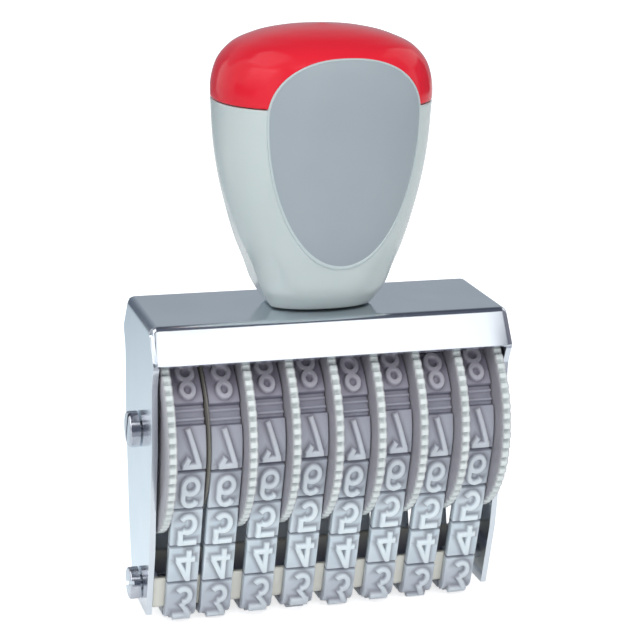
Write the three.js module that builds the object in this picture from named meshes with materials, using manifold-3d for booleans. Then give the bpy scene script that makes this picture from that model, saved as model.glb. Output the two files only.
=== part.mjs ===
// A number stamp with eight numbering bands: a bent steel frame with a palm grip on top,
// eight thumbwheels on one axle, and a rubber type band looped over each wheel and a bar below.
// Millimetres, +Z up, X along the row of bands, the front towards -Y.
// The origin is under the middle of the stamp, on the plane that prints.
import * as THREE from 'three';
import { mergeVertices } from 'three/addons/utils/BufferGeometryUtils.js';
import Module from 'manifold-3d';

const wasm = await Module();
wasm.setup();

// Clearances
const runGap = 0.3;
const seatGap = 0.3;
const bandGap = 0.25;
const cutOverrun = 1;

// Wheels
const wheelCount = 8;
const bandPitch = 10;
const flangeThickness = 2.2;
const wheelRadius = 24.3;
const toothDepth = 0.9;
const toothCount = 64;
const drumRadius = 17.15;
const wheelAxisHeight = 45.8;
const axleRadius = 3;
const dividerThickness = 0.5;
const dividerRadius = 20.4;

// Type bands, from the inside out
const bandBase = 0.9;
const plinthHeight = 1.2;
const reliefHeight = 1.1;
const plinthGroove = 0.5;
const jointLength = 3.9;
const ridgeLength = 0.8;
const ridgeHeight = 0.55;
// Where the ridges lie in the joint strip, as shares of its length.
const ridgeShares = [0.25, 0.75];
const glyphHeight = 8.4;
const glyphWidth = 4.5;
const glyphShift = 0.2;
const strokeWidth = 1.2;
const glyphSink = 0.7;
// How far each band is turned towards the front, as shares of the plinth pitch.
const bandSlipShares = [0.06, 0.02, 0.09, 0.13, -0.01, 0.07, -0.08, 0.04];

// Bar under the bands
const barFlat = 10.5;
const barCorner = 1.75;
const barHeight = 8.45;
const barWall = 1.4;
const barRightClearance = 2.05;

// Bent sheet frame
const sheet = 1.4;
const rimClearance = 0.5;
const sideClearance = 0.5;
const cornerRadius = 2;
const topHalfDepth = 14;
const lipDrop = 7.6;
const lipFlare = 5.4;
const lipBend = 2.2;
const lipInset = 0.6;
const sideStep = 1.4;
const earHalfDepth = 17;
const earDrop = 7.2;
const shoulderDrop = 13.2;
const sideTaper = 3.2;
const taperRise = 16.4;
const footTaper = 4.2;
const footReach = 5;

// Screws
const axleHeadRadius = 4.2;
const platenHeadRadius = 3.8;
const headHeight = 2.4;
const slotWidth = 1;
const slotDepth = 0.9;
const shankRadius = 1.8;
const shankLength = 9;
const gripHeadRadius = 5;
const gripHeadHeight = 1.5;
const gripShankRadius = 2.5;
const gripShankLength = 17;
const insertRadius = 4.6;
const insertLength = 12;
// How far each side screw's slot is turned from upright, in radians.
const axleSlotTurn = 0.3;
const platenSlotTurn = 1.2;

// Grip
const gripHeight = 64.1;
const gripHalfWidth = 25;
const gripHalfDepth = 20;
const capWall = 2.4;
const labelThickness = 1.2;
const labelRecess = 0.2;
// Heights on the grip, as shares of its height above the frame, and the label's share of its width.
const capEdgeShare = 0.741;
const labelTopShare = 0.914;
const labelWidestShare = 0.699;
const labelBottomShare = 0.181;
const labelWidthShare = 0.692;
// The grip's half width and half depth at shares of its height above the frame.
const gripShares = [
  [0, 0.475, 0.41], [0.03, 0.525, 0.51], [0.08, 0.595, 0.66], [0.15, 0.66, 0.765], [0.23, 0.747, 0.855],
  [0.33, 0.837, 0.915], [0.45, 0.918, 0.955], [0.58, 0.972, 0.985], [0.7, 0.994, 1], [0.79, 1, 1],
  [0.86, 0.957, 0.967], [0.92, 0.84, 0.868], [0.96, 0.645, 0.68], [0.985, 0.388, 0.414],
];
// The power that presses a round section to a squarer one: 1 leaves it round.
const squareShare = 0.87;

// Counts of facets round the curves
const toothStep = (2 * Math.PI) / toothCount;
const roundSides = 20;
const boreSides = 10;
const drumSides = 24;
const gripSides = 24;
const topArcSteps = 12;
const cornerSteps = 2;
const ringSteps = 8;

// Sizes worked out from the driving ones
const bandWidth = bandPitch - flangeThickness - 2 * runGap;
const bandStack = bandBase + plinthHeight + reliefHeight;
const dividerRoom = dividerThickness + 2 * runGap;
const stackWidth = 2 * (flangeThickness + runGap + bandWidth) + dividerRoom + (wheelCount - 2) * bandPitch;
const innerHalf = stackWidth / 2 + sideClearance;
const outerHalf = innerHalf + sheet;
const loopTopRadius = drumRadius + bandGap;
const loopCorner = barCorner + bandGap;
const loopCornerHeight = bandStack + loopCorner;
const boreRadius = axleRadius + runGap;
const barSole = bandStack + bandGap;
const barTop = barSole + barHeight;
const barAxisHeight = (barSole + barTop) / 2;
const plateUnderside = wheelAxisHeight + wheelRadius + rimClearance + gripHeadHeight + seatGap;
const frameHeight = plateUnderside + sheet;
const bendHalfDepth = topHalfDepth - lipBend / 2;
const sideHalfDepth = topHalfDepth + sideStep;
const shoulderHeight = frameHeight - shoulderDrop;
const taperHalfDepth = sideHalfDepth - sideTaper;
const footHalfDepth = taperHalfDepth - footTaper;
const footHeight = barAxisHeight - footReach;
const taperHeight = footHeight + taperRise;
const gripBase = frameHeight + seatGap;
const capEdgeHeight = gripBase + capEdgeShare * gripHeight;
const labelTop = gripBase + labelTopShare * gripHeight;
const labelWidest = gripBase + labelWidestShare * gripHeight;
const labelBottom = gripBase + labelBottomShare * gripHeight;
const labelHalfWidth = labelWidthShare * gripHalfWidth;

const colours = {
  steel: { color: 0xc3cbd4, roughness: 0.22, metalness: 1 },
  screw: { color: 0x8d93a0, roughness: 0.25, metalness: 1 },
  rubber: { color: 0xc9cdd8, roughness: 0.45, metalness: 0 },
  wheel: { color: 0xe6e8e4, roughness: 0.4, metalness: 0 },
  bar: { color: 0xe9e6d8, roughness: 0.45, metalness: 0 },
  grip: { color: 0xccd8d6, roughness: 0.25, metalness: 0 },
  cap: { color: 0xe2283a, roughness: 0.22, metalness: 0 },
  label: { color: 0xa6afb9, roughness: 0.5, metalness: 0 },
};

const stamp = new THREE.Group();

// A closed three.js geometry as a solid that can be joined and cut.
function solid(geometry) {
  const bare = geometry.index ? geometry.toNonIndexed() : geometry.clone();
  bare.deleteAttribute('normal');
  bare.deleteAttribute('uv');
  const merged = mergeVertices(bare);
  return new wasm.Manifold(new wasm.Mesh({
    numProp: 3,
    vertProperties: new Float32Array(merged.attributes.position.array),
    triVerts: new Uint32Array(merged.index.array),
  }));
}

// Adds a solid to the stamp as a named mesh of one material.
function addPiece(name, piece, look) {
  const mesh = piece.getMesh();
  const geometry = new THREE.BufferGeometry();
  geometry.setAttribute('position', new THREE.BufferAttribute(mesh.vertProperties, 3));
  geometry.setIndex(new THREE.BufferAttribute(mesh.triVerts, 1));
  geometry.computeVertexNormals();
  const node = new THREE.Mesh(geometry, new THREE.MeshStandardMaterial(colours[look]));
  node.name = name;
  stamp.add(node);
}

function shapeOf(points) {
  return new THREE.Shape(points.map(([u, v]) => new THREE.Vector2(u, v)));
}

// A closed outline drawn in Y and Z, extruded along X from xLow to xHigh.
function alongX(shape, xLow, xHigh) {
  const geometry = new THREE.ExtrudeGeometry(shape, { depth: xHigh - xLow, bevelEnabled: false });
  const basis = new THREE.Matrix4().makeBasis(
    new THREE.Vector3(0, 1, 0), new THREE.Vector3(0, 0, 1), new THREE.Vector3(1, 0, 0));
  geometry.applyMatrix4(basis);
  geometry.translate(xLow, 0, 0);
  return solid(geometry);
}

// A closed outline drawn in X and Z, extruded along Y from yLow to yHigh.
function alongY(shape, yLow, yHigh) {
  const geometry = new THREE.ExtrudeGeometry(shape, { depth: yHigh - yLow, bevelEnabled: false });
  geometry.rotateX(Math.PI / 2);
  geometry.translate(0, yHigh, 0);
  return solid(geometry);
}

// A round bar along X, centred on the height given.
function barX(radius, xLow, xHigh, height, sides = roundSides) {
  const geometry = new THREE.CylinderGeometry(radius, radius, xHigh - xLow, sides);
  geometry.rotateZ(Math.PI / 2);
  geometry.translate((xLow + xHigh) / 2, 0, height);
  return solid(geometry);
}

// A round bar along Z, on the middle of the stamp.
function barZ(radius, zLow, zHigh, sides = roundSides) {
  const geometry = new THREE.CylinderGeometry(radius, radius, zHigh - zLow, sides);
  geometry.rotateX(Math.PI / 2);
  geometry.translate(0, 0, (zLow + zHigh) / 2);
  return solid(geometry);
}

function block(xSize, ySize, zSize, x, y, z) {
  const geometry = new THREE.BoxGeometry(xSize, ySize, zSize);
  geometry.translate(x, y, z);
  return solid(geometry);
}

// Places along the stack: the first wheel's flange is on its left, all the others' on their right,
// and a thin divider parts the first two bands.
function stackPlaces() {
  const places = [];
  let flangeLeft = -stackWidth / 2;
  let bandLeft = flangeLeft + flangeThickness + runGap;
  places.push({ bandLeft, flangeLeft, drumLow: flangeLeft, drumHigh: bandLeft + bandWidth });
  bandLeft += bandWidth + dividerRoom;
  for (let index = 1; index < wheelCount; index += 1) {
    flangeLeft = bandLeft + bandWidth + runGap;
    places.push({ bandLeft, flangeLeft, drumLow: bandLeft, drumHigh: flangeLeft + flangeThickness });
    bandLeft += bandPitch;
  }
  return places;
}
const places = stackPlaces();

// The band's way round: a flat under the bar, a small corner, a slanted run up the back, the wheel's
// arc, a slanted run down the front and a corner. Way is measured in the middle of the band's base.
const rise = wheelAxisHeight - loopCornerHeight;
const centreDistance = Math.hypot(barFlat / 2, rise);
const slant = Math.asin((loopTopRadius - loopCorner) / centreDistance) - Math.atan2(barFlat / 2, rise);
const runLength = Math.sqrt(centreDistance ** 2 - (loopTopRadius - loopCorner) ** 2);
const middle = bandBase / 2;

function loopParts() {
  const corner = (y, from, to) => ({
    arc: true, y, z: loopCornerHeight, radius: loopCorner, from, to,
    length: (loopCorner + middle) * (to - from), steps: cornerSteps,
  });
  const down = -Math.PI / 2;
  const half = barFlat / 2;
  const flat = { angle: down, y: 0, z: bandStack, length: half };
  const backRun = {
    angle: -slant,
    y: half + loopCorner * Math.cos(slant),
    z: loopCornerHeight - loopCorner * Math.sin(slant),
    length: runLength,
  };
  const frontRun = {
    angle: Math.PI + slant,
    y: -loopTopRadius * Math.cos(slant),
    z: wheelAxisHeight - loopTopRadius * Math.sin(slant),
    length: runLength,
  };
  const top = {
    arc: true, y: 0, z: wheelAxisHeight, radius: loopTopRadius, from: -slant, to: Math.PI + slant,
    length: (loopTopRadius + middle) * (Math.PI + 2 * slant), steps: topArcSteps,
  };
  const lastFlat = { angle: 3 * Math.PI / 2, y: -half, z: bandStack, length: half };
  return [
    flat, corner(half, down, -slant), backRun, top, frontRun,
    corner(-half, Math.PI + slant, 3 * Math.PI / 2), lastFlat,
  ];
}
const loop = loopParts();
const loopLength = loop.reduce((sum, part) => sum + part.length, 0);

// The point at a way round the loop, raised by offset from the band's inner face, and the
// angle of the outward direction there.
function loopPoint(way, offset) {
  let rest = ((way % loopLength) + loopLength) % loopLength;
  let index = 0;
  while (index < loop.length - 1 && rest > loop[index].length) {
    rest -= loop[index].length;
    index += 1;
  }
  const part = loop[index];
  if (part.arc) {
    const angle = part.from + (part.to - part.from) * (rest / part.length);
    const reach = part.radius + offset;
    return { y: part.y + reach * Math.cos(angle), z: part.z + reach * Math.sin(angle), angle };
  }
  const along = part.angle + Math.PI / 2;
  return {
    y: part.y + rest * Math.cos(along) + offset * Math.cos(part.angle),
    z: part.z + rest * Math.sin(along) + offset * Math.sin(part.angle),
    angle: part.angle,
  };
}

// Ways at which the loop bends: each arc's ends and the steps between them.
function bendWays() {
  const ways = [];
  let start = 0;
  for (const part of loop) {
    for (let step = 0; part.arc && step <= part.steps; step += 1) {
      ways.push(start + part.length * (step / part.steps));
    }
    start += part.length;
  }
  return ways;
}
const bends = bendWays();

// Symbols round the band, from the one that prints on over the back and the wheel to the front.
const symbols = ['2', '1', '0', ' ', '-', '/', '.', ' ', '9', '8', '7', '6', '5', '4', '3'];
const jointAfter = symbols.indexOf('8');
const plinthPitch = (loopLength - jointLength) / symbols.length;

// The middle of each symbol's plinth, and of the plain joint strip that follows the 8.
function plinthWay(index, slip) {
  const joint = index > jointAfter ? jointLength : 0;
  return index * plinthPitch + joint - slip;
}

// The raised stretches of the band: plinths and the two ridges of the joint strip.
function raisedStretches(slip) {
  const stretches = symbols.map((symbol, index) => {
    const way = plinthWay(index, slip);
    const half = (plinthPitch - plinthGroove) / 2;
    return { from: way - half, to: way + half, height: bandBase + plinthHeight };
  });
  const jointStart = plinthWay(jointAfter, slip) + plinthPitch / 2;
  const ridges = ridgeShares.map((share) => {
    const way = jointStart + jointLength * share;
    return { from: way - ridgeLength / 2, to: way + ridgeLength / 2, height: bandBase + ridgeHeight };
  });
  stretches.splice(jointAfter + 1, 0, ...ridges);
  return stretches;
}

// Bends that lie between two ways, counted on past the loop's start where need be.
function bendsBetween(from, to) {
  const margin = runGap;
  const found = [];
  for (const turn of [-1, 0, 1]) {
    for (const bend of bends) {
      const way = bend + turn * loopLength;
      if (way > from + margin && way < to - margin) found.push(way);
    }
  }
  return found.sort((a, b) => a - b);
}

function bandOutline(slip) {
  const outer = [];
  for (const { from, to, height } of raisedStretches(slip)) {
    outer.push(loopPoint(from, bandBase));
    for (const way of [from, ...bendsBetween(from, to), to]) outer.push(loopPoint(way, height));
    outer.push(loopPoint(to, bandBase));
  }
  const shape = shapeOf(outer.map(({ y, z }) => [y, z]));
  const inner = bends.map((way) => loopPoint(way, 0));
  shape.holes.push(new THREE.Path(inner.map(({ y, z }) => new THREE.Vector2(y, z))));
  return shape;
}

// Type: each figure is made of strokes. Places and radii are shares of the figure's width and height,
// the middle of the figure at 0, its top at y 0.5 and its right side at x 0.5.
const figureShares = {
  0: [{ ring: [0, 0, 0.5, 0.5] }],
  1: [{ line: [0.08, -0.5, 0.08, 0.5] }, { line: [-0.3, 0.28, 0.08, 0.46] }],
  2: [{ arc: [0, 0.22, 0.46, 0.28, -0.25, 1] }, { line: [0.36, 0.13, -0.38, -0.43] }, { bar: -0.5 }],
  3: [{ bar: 0.5 }, { line: [0.36, 0.42, -0.08, 0.08] }, { arc: [0.02, -0.2, 0.48, 0.3, -0.8, 0.55] }],
  4: [{ line: [0.16, -0.5, 0.16, 0.5] }, { line: [0.12, 0.44, -0.4, -0.18] }, { level: -0.22 }],
  5: [{ bar: 0.5 }, { line: [-0.3, 0.46, -0.36, 0.04] }, { arc: [-0.02, -0.17, 0.5, 0.33, -0.82, 0.72] }],
  6: [{ ring: [0, -0.19, 0.5, 0.31] }, { arc: [0, 0.2, 0.5, 0.3, 0.15, 1] }, { line: [-0.37, 0.22, -0.37, -0.2] }],
  7: [{ bar: 0.5 }, { line: [0.36, 0.42, -0.2, -0.5] }, { line: [-0.42, 0.44, -0.14, 0.22] }],
  8: [{ ring: [0, 0.25, 0.44, 0.25] }, { ring: [0, -0.22, 0.5, 0.28] }],
  9: [{ ring: [0, 0.19, 0.5, 0.31] }, { arc: [0, -0.2, 0.5, 0.3, 1.15, 2] }, { line: [0.37, -0.22, 0.37, 0.2] }],
  '-': [{ level: 0 }],
  '/': [{ line: [-0.36, -0.46, 0.36, 0.46] }],
  '.': [{ dot: [0, -0.4] }],
};

// A ring or an arc of stroke width: centre x and y, outer radii, and for an arc its first and
// last turn in half turns.
function arcStroke([x, y, across, up, from = 0, to = 2]) {
  const whole = to - from === 2;
  const steps = Math.ceil(ringSteps * (to - from) / 2);
  const point = (step, inset) => {
    const angle = Math.PI * (from + (to - from) * (step / steps));
    return [
      x * glyphWidth + (across * glyphWidth - inset) * Math.cos(angle),
      y * glyphHeight + (up * glyphHeight - inset) * Math.sin(angle),
    ];
  };
  const counts = Array.from({ length: whole ? steps : steps + 1 }, (_, step) => step);
  const outer = counts.map((step) => point(step, 0));
  const inner = counts.map((step) => point(step, strokeWidth));
  if (!whole) return shapeOf([...outer, ...inner.reverse()]);
  const shape = shapeOf(outer);
  shape.holes.push(new THREE.Path(inner.map(([u, v]) => new THREE.Vector2(u, v))));
  return shape;
}

// A straight stroke between two points, square at its ends.
function lineStroke([x1, y1, x2, y2]) {
  const start = [x1 * glyphWidth, y1 * glyphHeight];
  const end = [x2 * glyphWidth, y2 * glyphHeight];
  const length = Math.hypot(end[0] - start[0], end[1] - start[1]);
  const side = [
    -(end[1] - start[1]) / length * strokeWidth / 2,
    (end[0] - start[0]) / length * strokeWidth / 2,
  ];
  return shapeOf([
    [start[0] + side[0], start[1] + side[1]],
    [start[0] - side[0], start[1] - side[1]],
    [end[0] - side[0], end[1] - side[1]],
    [end[0] + side[0], end[1] + side[1]],
  ]);
}

// A level stroke over the figure's whole width, its middle at the height given.
function levelStroke(height) {
  const half = glyphWidth / 2;
  return shapeOf([
    [-half, height - strokeWidth / 2], [half, height - strokeWidth / 2],
    [half, height + strokeWidth / 2], [-half, height + strokeWidth / 2],
  ]);
}

function strokeShape(stroke) {
  if (stroke.ring) return arcStroke(stroke.ring);
  if (stroke.arc) return arcStroke(stroke.arc);
  if (stroke.line) return lineStroke(stroke.line);
  if (stroke.dot) {
    const [x, y] = stroke.dot;
    const reach = strokeWidth / 2 / glyphHeight;
    return lineStroke([x, y - reach, x, y + reach]);
  }
  if (stroke.bar) return levelStroke(stroke.bar * glyphHeight - Math.sign(stroke.bar) * strokeWidth / 2);
  return levelStroke(stroke.level * glyphHeight);
}

// Type stands mirrored so that it prints the right way round.
function figureSolid(symbol) {
  const depth = glyphSink + reliefHeight;
  const strokes = figureShares[symbol].map((stroke) => {
    const { shape: points, holes } = strokeShape(stroke).extractPoints();
    const mirror = (outline) => outline.map(({ x, y }) => new THREE.Vector2(-x, y)).reverse();
    const mirrored = new THREE.Shape(mirror(points));
    mirrored.holes = holes.map((hole) => new THREE.Path(mirror(hole)));
    return solid(new THREE.ExtrudeGeometry(mirrored, { depth, bevelEnabled: false }));
  });
  return strokes.reduce((whole, stroke) => whole.add(stroke));
}
const figures = Object.fromEntries(Object.keys(figureShares).map((symbol) => [symbol, figureSolid(symbol)]));

// A figure stood on its plinth: its top edge faces on round the loop, its face outwards.
function placedFigure(symbol, way, x) {
  const { y, z, angle } = loopPoint(way, bandBase + plinthHeight - glyphSink);
  const matrix = new THREE.Matrix4().makeBasis(
    new THREE.Vector3(-1, 0, 0),
    new THREE.Vector3(0, -Math.sin(angle), Math.cos(angle)),
    new THREE.Vector3(0, Math.cos(angle), Math.sin(angle)),
  );
  matrix.setPosition(x, y, z);
  return figures[symbol].transform(matrix.toArray());
}

function makeBand(place, slip) {
  let band = alongX(bandOutline(slip), place.bandLeft, place.bandLeft + bandWidth);
  symbols.forEach((symbol, index) => {
    if (symbol === ' ') return;
    const x = place.bandLeft + bandWidth / 2 + glyphShift;
    band = band.add(placedFigure(symbol, plinthWay(index, slip), x));
  });
  return band;
}

// A thumbwheel: a serrated flange beside the band, and the drum that the band runs on.
function makeWheel(place) {
  const rim = [];
  for (let tooth = 0; tooth < toothCount; tooth += 1) {
    for (const [turn, radius] of [[0, wheelRadius], [toothStep / 2, wheelRadius - toothDepth]]) {
      const angle = tooth * toothStep + turn;
      rim.push([radius * Math.cos(angle), wheelAxisHeight + radius * Math.sin(angle)]);
    }
  }
  const flange = alongX(shapeOf(rim), place.flangeLeft, place.flangeLeft + flangeThickness);
  const drum = barX(drumRadius, place.drumLow, place.drumHigh, wheelAxisHeight, drumSides);
  const bore = barX(
    boreRadius, place.drumLow - cutOverrun, place.drumHigh + cutOverrun, wheelAxisHeight, boreSides);
  return flange.add(drum).subtract(bore);
}

function makeDivider() {
  const left = places[0].bandLeft + bandWidth + runGap;
  const right = left + dividerThickness;
  const disc = barX(dividerRadius, left, right, wheelAxisHeight, drumSides);
  return disc.subtract(barX(boreRadius, left - cutOverrun, right + cutOverrun, wheelAxisHeight, boreSides));
}

// The screw's hole in a rod's end, wider than the shank by the running gap.
const shankHole = shankRadius + runGap;
const shankReach = shankLength - sheet - seatGap;
const rodHalf = innerHalf - seatGap;

// Drills a rod between the side plates for the screws at its two ends.
function drillEnds(rod, height) {
  const floor = innerHalf - shankReach - seatGap;
  const left = barX(shankHole, -rodHalf - cutOverrun, -floor, height, boreSides);
  const right = barX(shankHole, floor, rodHalf + cutOverrun, height, boreSides);
  return rod.subtract(left).subtract(right);
}

function makeAxle() {
  return drillEnds(barX(axleRadius, -rodHalf, rodHalf, wheelAxisHeight, boreSides), wheelAxisHeight);
}

// The bar under the bands is a trough that stands at the left plate and stops short of the right one: a
// flat sole with round corners, and sides that slant with the bands.
function makeBar() {
  const half = barFlat / 2;
  const sideAt = (height) => {
    const foot = half + barCorner * Math.cos(slant);
    return foot + (height - loopCornerHeight + barCorner * Math.sin(slant)) * Math.tan(slant);
  };
  const outline = [];
  for (let step = 0; step <= 2 * cornerSteps; step += 1) {
    const angle = -Math.PI / 2 + (Math.PI / 2 - slant) * (step / (2 * cornerSteps));
    outline.push([half + barCorner * Math.cos(angle), loopCornerHeight + barCorner * Math.sin(angle)]);
  }
  outline.push([sideAt(barTop), barTop]);
  const hollow = [barSole + barWall, barTop + cutOverrun].map((height) => [sideAt(height) - barWall, height]);
  const whole = (points) => shapeOf([...points, ...points.map(([y, z]) => [-y, z]).reverse()]);
  const barRight = innerHalf - barRightClearance;
  const bar = alongX(whole(outline), -rodHalf, barRight);
  return drillEnds(bar.subtract(alongX(whole(hollow), barWall - rodHalf, barRight - barWall)), barAxisHeight);
}

// The two ends of a stretch along X on one side, side -1 on the left and 1 on the right, in order.
function spanOn(side, from, to) {
  return side < 0 ? [-to, -from] : [from, to];
}

// A slotted screw through a side plate, its slot turned by the angle given.
function makeSideScrew(side, height, headRadius, slotTurn) {
  const seat = outerHalf + seatGap;
  const head = barX(headRadius, ...spanOn(side, seat, seat + headHeight), height);
  const shankEnds = spanOn(side, innerHalf - shankReach, seat + slotDepth);
  const shank = barX(shankRadius, ...shankEnds, height, boreSides);
  const slot = new THREE.BoxGeometry(2 * slotDepth, slotWidth, 2 * headRadius + cutOverrun);
  slot.rotateX(slotTurn);
  slot.translate(side * (seat + headHeight), 0, height);
  return head.add(shank).subtract(solid(slot));
}

// The frame is one bent sheet: a top with round corners into two side plates that narrow downwards,
// and a flared lip along its front and back edges.
function makeFrame() {
  const corner = (side, radius) => {
    const points = [];
    for (let step = 0; step <= 2 * cornerSteps; step += 1) {
      const angle = (Math.PI / 2) * (step / (2 * cornerSteps));
      points.push([
        side * (outerHalf - cornerRadius + radius * Math.cos(angle)),
        frameHeight - cornerRadius + radius * Math.sin(angle),
      ]);
    }
    return points;
  };
  const arch = (halfWidth, radius) => [
    [-halfWidth, footHeight], ...corner(-1, radius), ...corner(1, radius).reverse(), [halfWidth, footHeight],
  ];
  const outer = arch(outerHalf, cornerRadius);
  const inner = arch(innerHalf, cornerRadius - sheet);
  const bent = alongY(shapeOf([...outer, ...inner.reverse()]), -earHalfDepth, earHalfDepth);

  const half = [
    [footHalfDepth, footHeight],
    [taperHalfDepth, taperHeight],
    [sideHalfDepth, wheelAxisHeight],
    [sideHalfDepth, shoulderHeight],
    [earHalfDepth, frameHeight - earDrop],
    [bendHalfDepth, frameHeight - cornerRadius],
    [bendHalfDepth, frameHeight],
  ];
  const side = [...half, ...half.map(([y, z]) => [-y, z]).reverse()];
  let frame = bent.intersect(alongX(shapeOf(side), -outerHalf, outerHalf));
  const cover = alongY(shapeOf(outer), -gripHalfDepth, gripHalfDepth);
  for (const way of [-1, 1]) frame = frame.add(makeLip(way).intersect(cover));

  const holeSpan = outerHalf + cutOverrun;
  for (const height of [wheelAxisHeight, barAxisHeight]) {
    frame = frame.subtract(barX(shankHole, -holeSpan, holeSpan, height, boreSides));
  }
  const screwHole = barZ(gripShankRadius + runGap, plateUnderside - cutOverrun, frameHeight + cutOverrun);
  return frame.subtract(screwHole);
}

// One lip, way -1 at the front and 1 at the back: a bend over the top's edge, then a straight flare.
function makeLip(way) {
  const tilt = Math.atan2(lipDrop, lipFlare);
  const arc = (radius) => {
    const points = [];
    for (let step = 0; step <= cornerSteps; step += 1) {
      const angle = tilt * (step / cornerSteps);
      points.push([
        bendHalfDepth + radius * Math.sin(angle),
        frameHeight - lipBend + radius * Math.cos(angle),
      ]);
    }
    return points;
  };
  const outer = arc(lipBend);
  const [endY, endZ] = outer[outer.length - 1];
  const flare = (frameHeight - lipDrop - endZ) / Math.sin(tilt);
  const slide = ([y, z]) => [y - flare * Math.cos(tilt), z + flare * Math.sin(tilt)];
  const inner = arc(lipBend - sheet);
  const root = bendHalfDepth - runGap;
  const outline = [
    [root, frameHeight], ...outer, slide([endY, endZ]),
    slide(inner[inner.length - 1]), ...inner.reverse(), [root, frameHeight - sheet],
  ];
  const length = outerHalf - lipInset;
  return alongX(shapeOf(outline.map(([y, z]) => [way * y, z])), -length, length);
}

// A cosine or sine pressed outwards, for a squarer oval.
function press(share) {
  return Math.sign(share) * Math.abs(share) ** squareShare;
}

// The grip's outer form, drawn in by inset all round: a lathe form of the half width, whose
// sections are then pressed to slightly squared ovals.
function gripForm(inset) {
  const crown = gripHeight - inset;
  const rows = gripShares.map(([share, width, depth]) => ({
    z: share * crown, width: width * gripHalfWidth - inset, depth: depth * gripHalfDepth - inset,
  }));
  const profile = [
    new THREE.Vector2(0, 0), ...rows.map(({ width, z }) => new THREE.Vector2(width, z)),
    new THREE.Vector2(0, crown),
  ];
  const geometry = new THREE.LatheGeometry(profile, gripSides);
  geometry.rotateX(Math.PI / 2);
  const position = geometry.attributes.position;
  for (let index = 0; index < position.count; index += 1) {
    const x = position.getX(index);
    const y = position.getY(index);
    const z = position.getZ(index);
    const reach = Math.hypot(x, y);
    const row = rows.find((candidate) => Math.abs(candidate.z - z) < runGap / 2);
    if (!row || reach < runGap) continue;
    position.setX(index, row.width * press(x / reach));
    position.setY(index, row.depth * press(y / reach));
  }
  geometry.translate(0, 0, gripBase);
  return solid(geometry);
}

// The label's egg outline in X and Z, widened by grow, as a prism from the front to the middle:
// half a pressed oval above its widest place and half a long round one below.
function labelPrism(grow) {
  const halfWidth = labelHalfWidth + grow;
  const points = [];
  for (let step = 0; step < gripSides; step += 1) {
    const angle = 2 * Math.PI * (step / gripSides);
    const [across, up] = [Math.cos(angle), Math.sin(angle)];
    if (up > 0) {
      points.push([halfWidth * press(across), labelWidest + (labelTop + grow - labelWidest) * press(up)]);
    } else {
      points.push([halfWidth * across, labelWidest + (labelWidest - labelBottom + grow) * up]);
    }
  }
  return alongY(shapeOf(points), -gripHalfDepth - cutOverrun, 0);
}

function makeGrip() {
  const outside = gripForm(0);
  const reach = 2 * gripHalfWidth + cutOverrun;
  const below = (height) => block(reach, reach, height, 0, 0, height / 2);
  const floorOfLabel = gripForm(labelRecess + labelThickness);
  const recess = labelPrism(seatGap).subtract(gripForm(labelRecess + labelThickness + seatGap));
  const label = labelPrism(0).intersect(gripForm(labelRecess)).subtract(floorOfLabel);
  const core = gripForm(capWall + seatGap);
  const pocket = barZ(insertRadius + seatGap, gripBase - cutOverrun, gripBase + gripShankLength);
  const body = outside.intersect(below(capEdgeHeight)).add(core).subtract(recess).subtract(pocket);
  const cap = outside.subtract(gripForm(capWall)).subtract(below(capEdgeHeight + seatGap)).subtract(recess);
  return { body, cap, label };
}

// The grip's screw comes up through the frame's top, its low head under the sheet.
function makeGripScrew() {
  const headTop = plateUnderside - seatGap;
  const head = barZ(gripHeadRadius, headTop - gripHeadHeight, headTop);
  const shank = barZ(gripShankRadius, headTop - gripHeadHeight / 2, headTop + gripShankLength);
  const slot = block(
    2 * gripHeadRadius + cutOverrun, slotWidth, gripHeadHeight, 0, 0, headTop - gripHeadHeight);
  return head.add(shank).subtract(slot);
}

// The threaded insert that holds the grip's screw.
function makeInsert() {
  const low = gripBase + seatGap;
  const outside = barZ(insertRadius, low, low + insertLength);
  return outside.subtract(barZ(gripShankRadius + runGap, low - cutOverrun, low + insertLength + cutOverrun));
}

addPiece('frame_shell', makeFrame(), 'steel');
addPiece('wheel_axle', makeAxle(), 'steel');
addPiece('platen_bar', makeBar(), 'bar');
addPiece('band_divider', makeDivider(), 'wheel');
for (const [name, side] of [['left', -1], ['right', 1]]) {
  const axleScrew = makeSideScrew(side, wheelAxisHeight, axleHeadRadius, axleSlotTurn);
  const platenScrew = makeSideScrew(side, barAxisHeight, platenHeadRadius, platenSlotTurn);
  addPiece(`axle_screw_${name}`, axleScrew, 'screw');
  addPiece(`platen_screw_${name}`, platenScrew, 'screw');
}
places.forEach((place, index) => {
  addPiece(`wheel_${index + 1}`, makeWheel(place), 'wheel');
  addPiece(`band_${index + 1}`, makeBand(place, bandSlipShares[index] * plinthPitch), 'rubber');
});
const grip = makeGrip();
addPiece('handle_body', grip.body, 'grip');
addPiece('handle_cap', grip.cap, 'cap');
addPiece('handle_label', grip.label, 'label');
addPiece('handle_insert', makeInsert(), 'screw');
addPiece('handle_screw', makeGripScrew(), 'screw');

export default stamp;
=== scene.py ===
# A number stamp: eight rubber type bands on thumbwheels in a bent steel frame, with a palm grip on top.
# Shapes are worked out in millimetres and turned into metres where a mesh is made.
import math

import bpy
import numpy as np
from mathutils import Matrix, Vector


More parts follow.
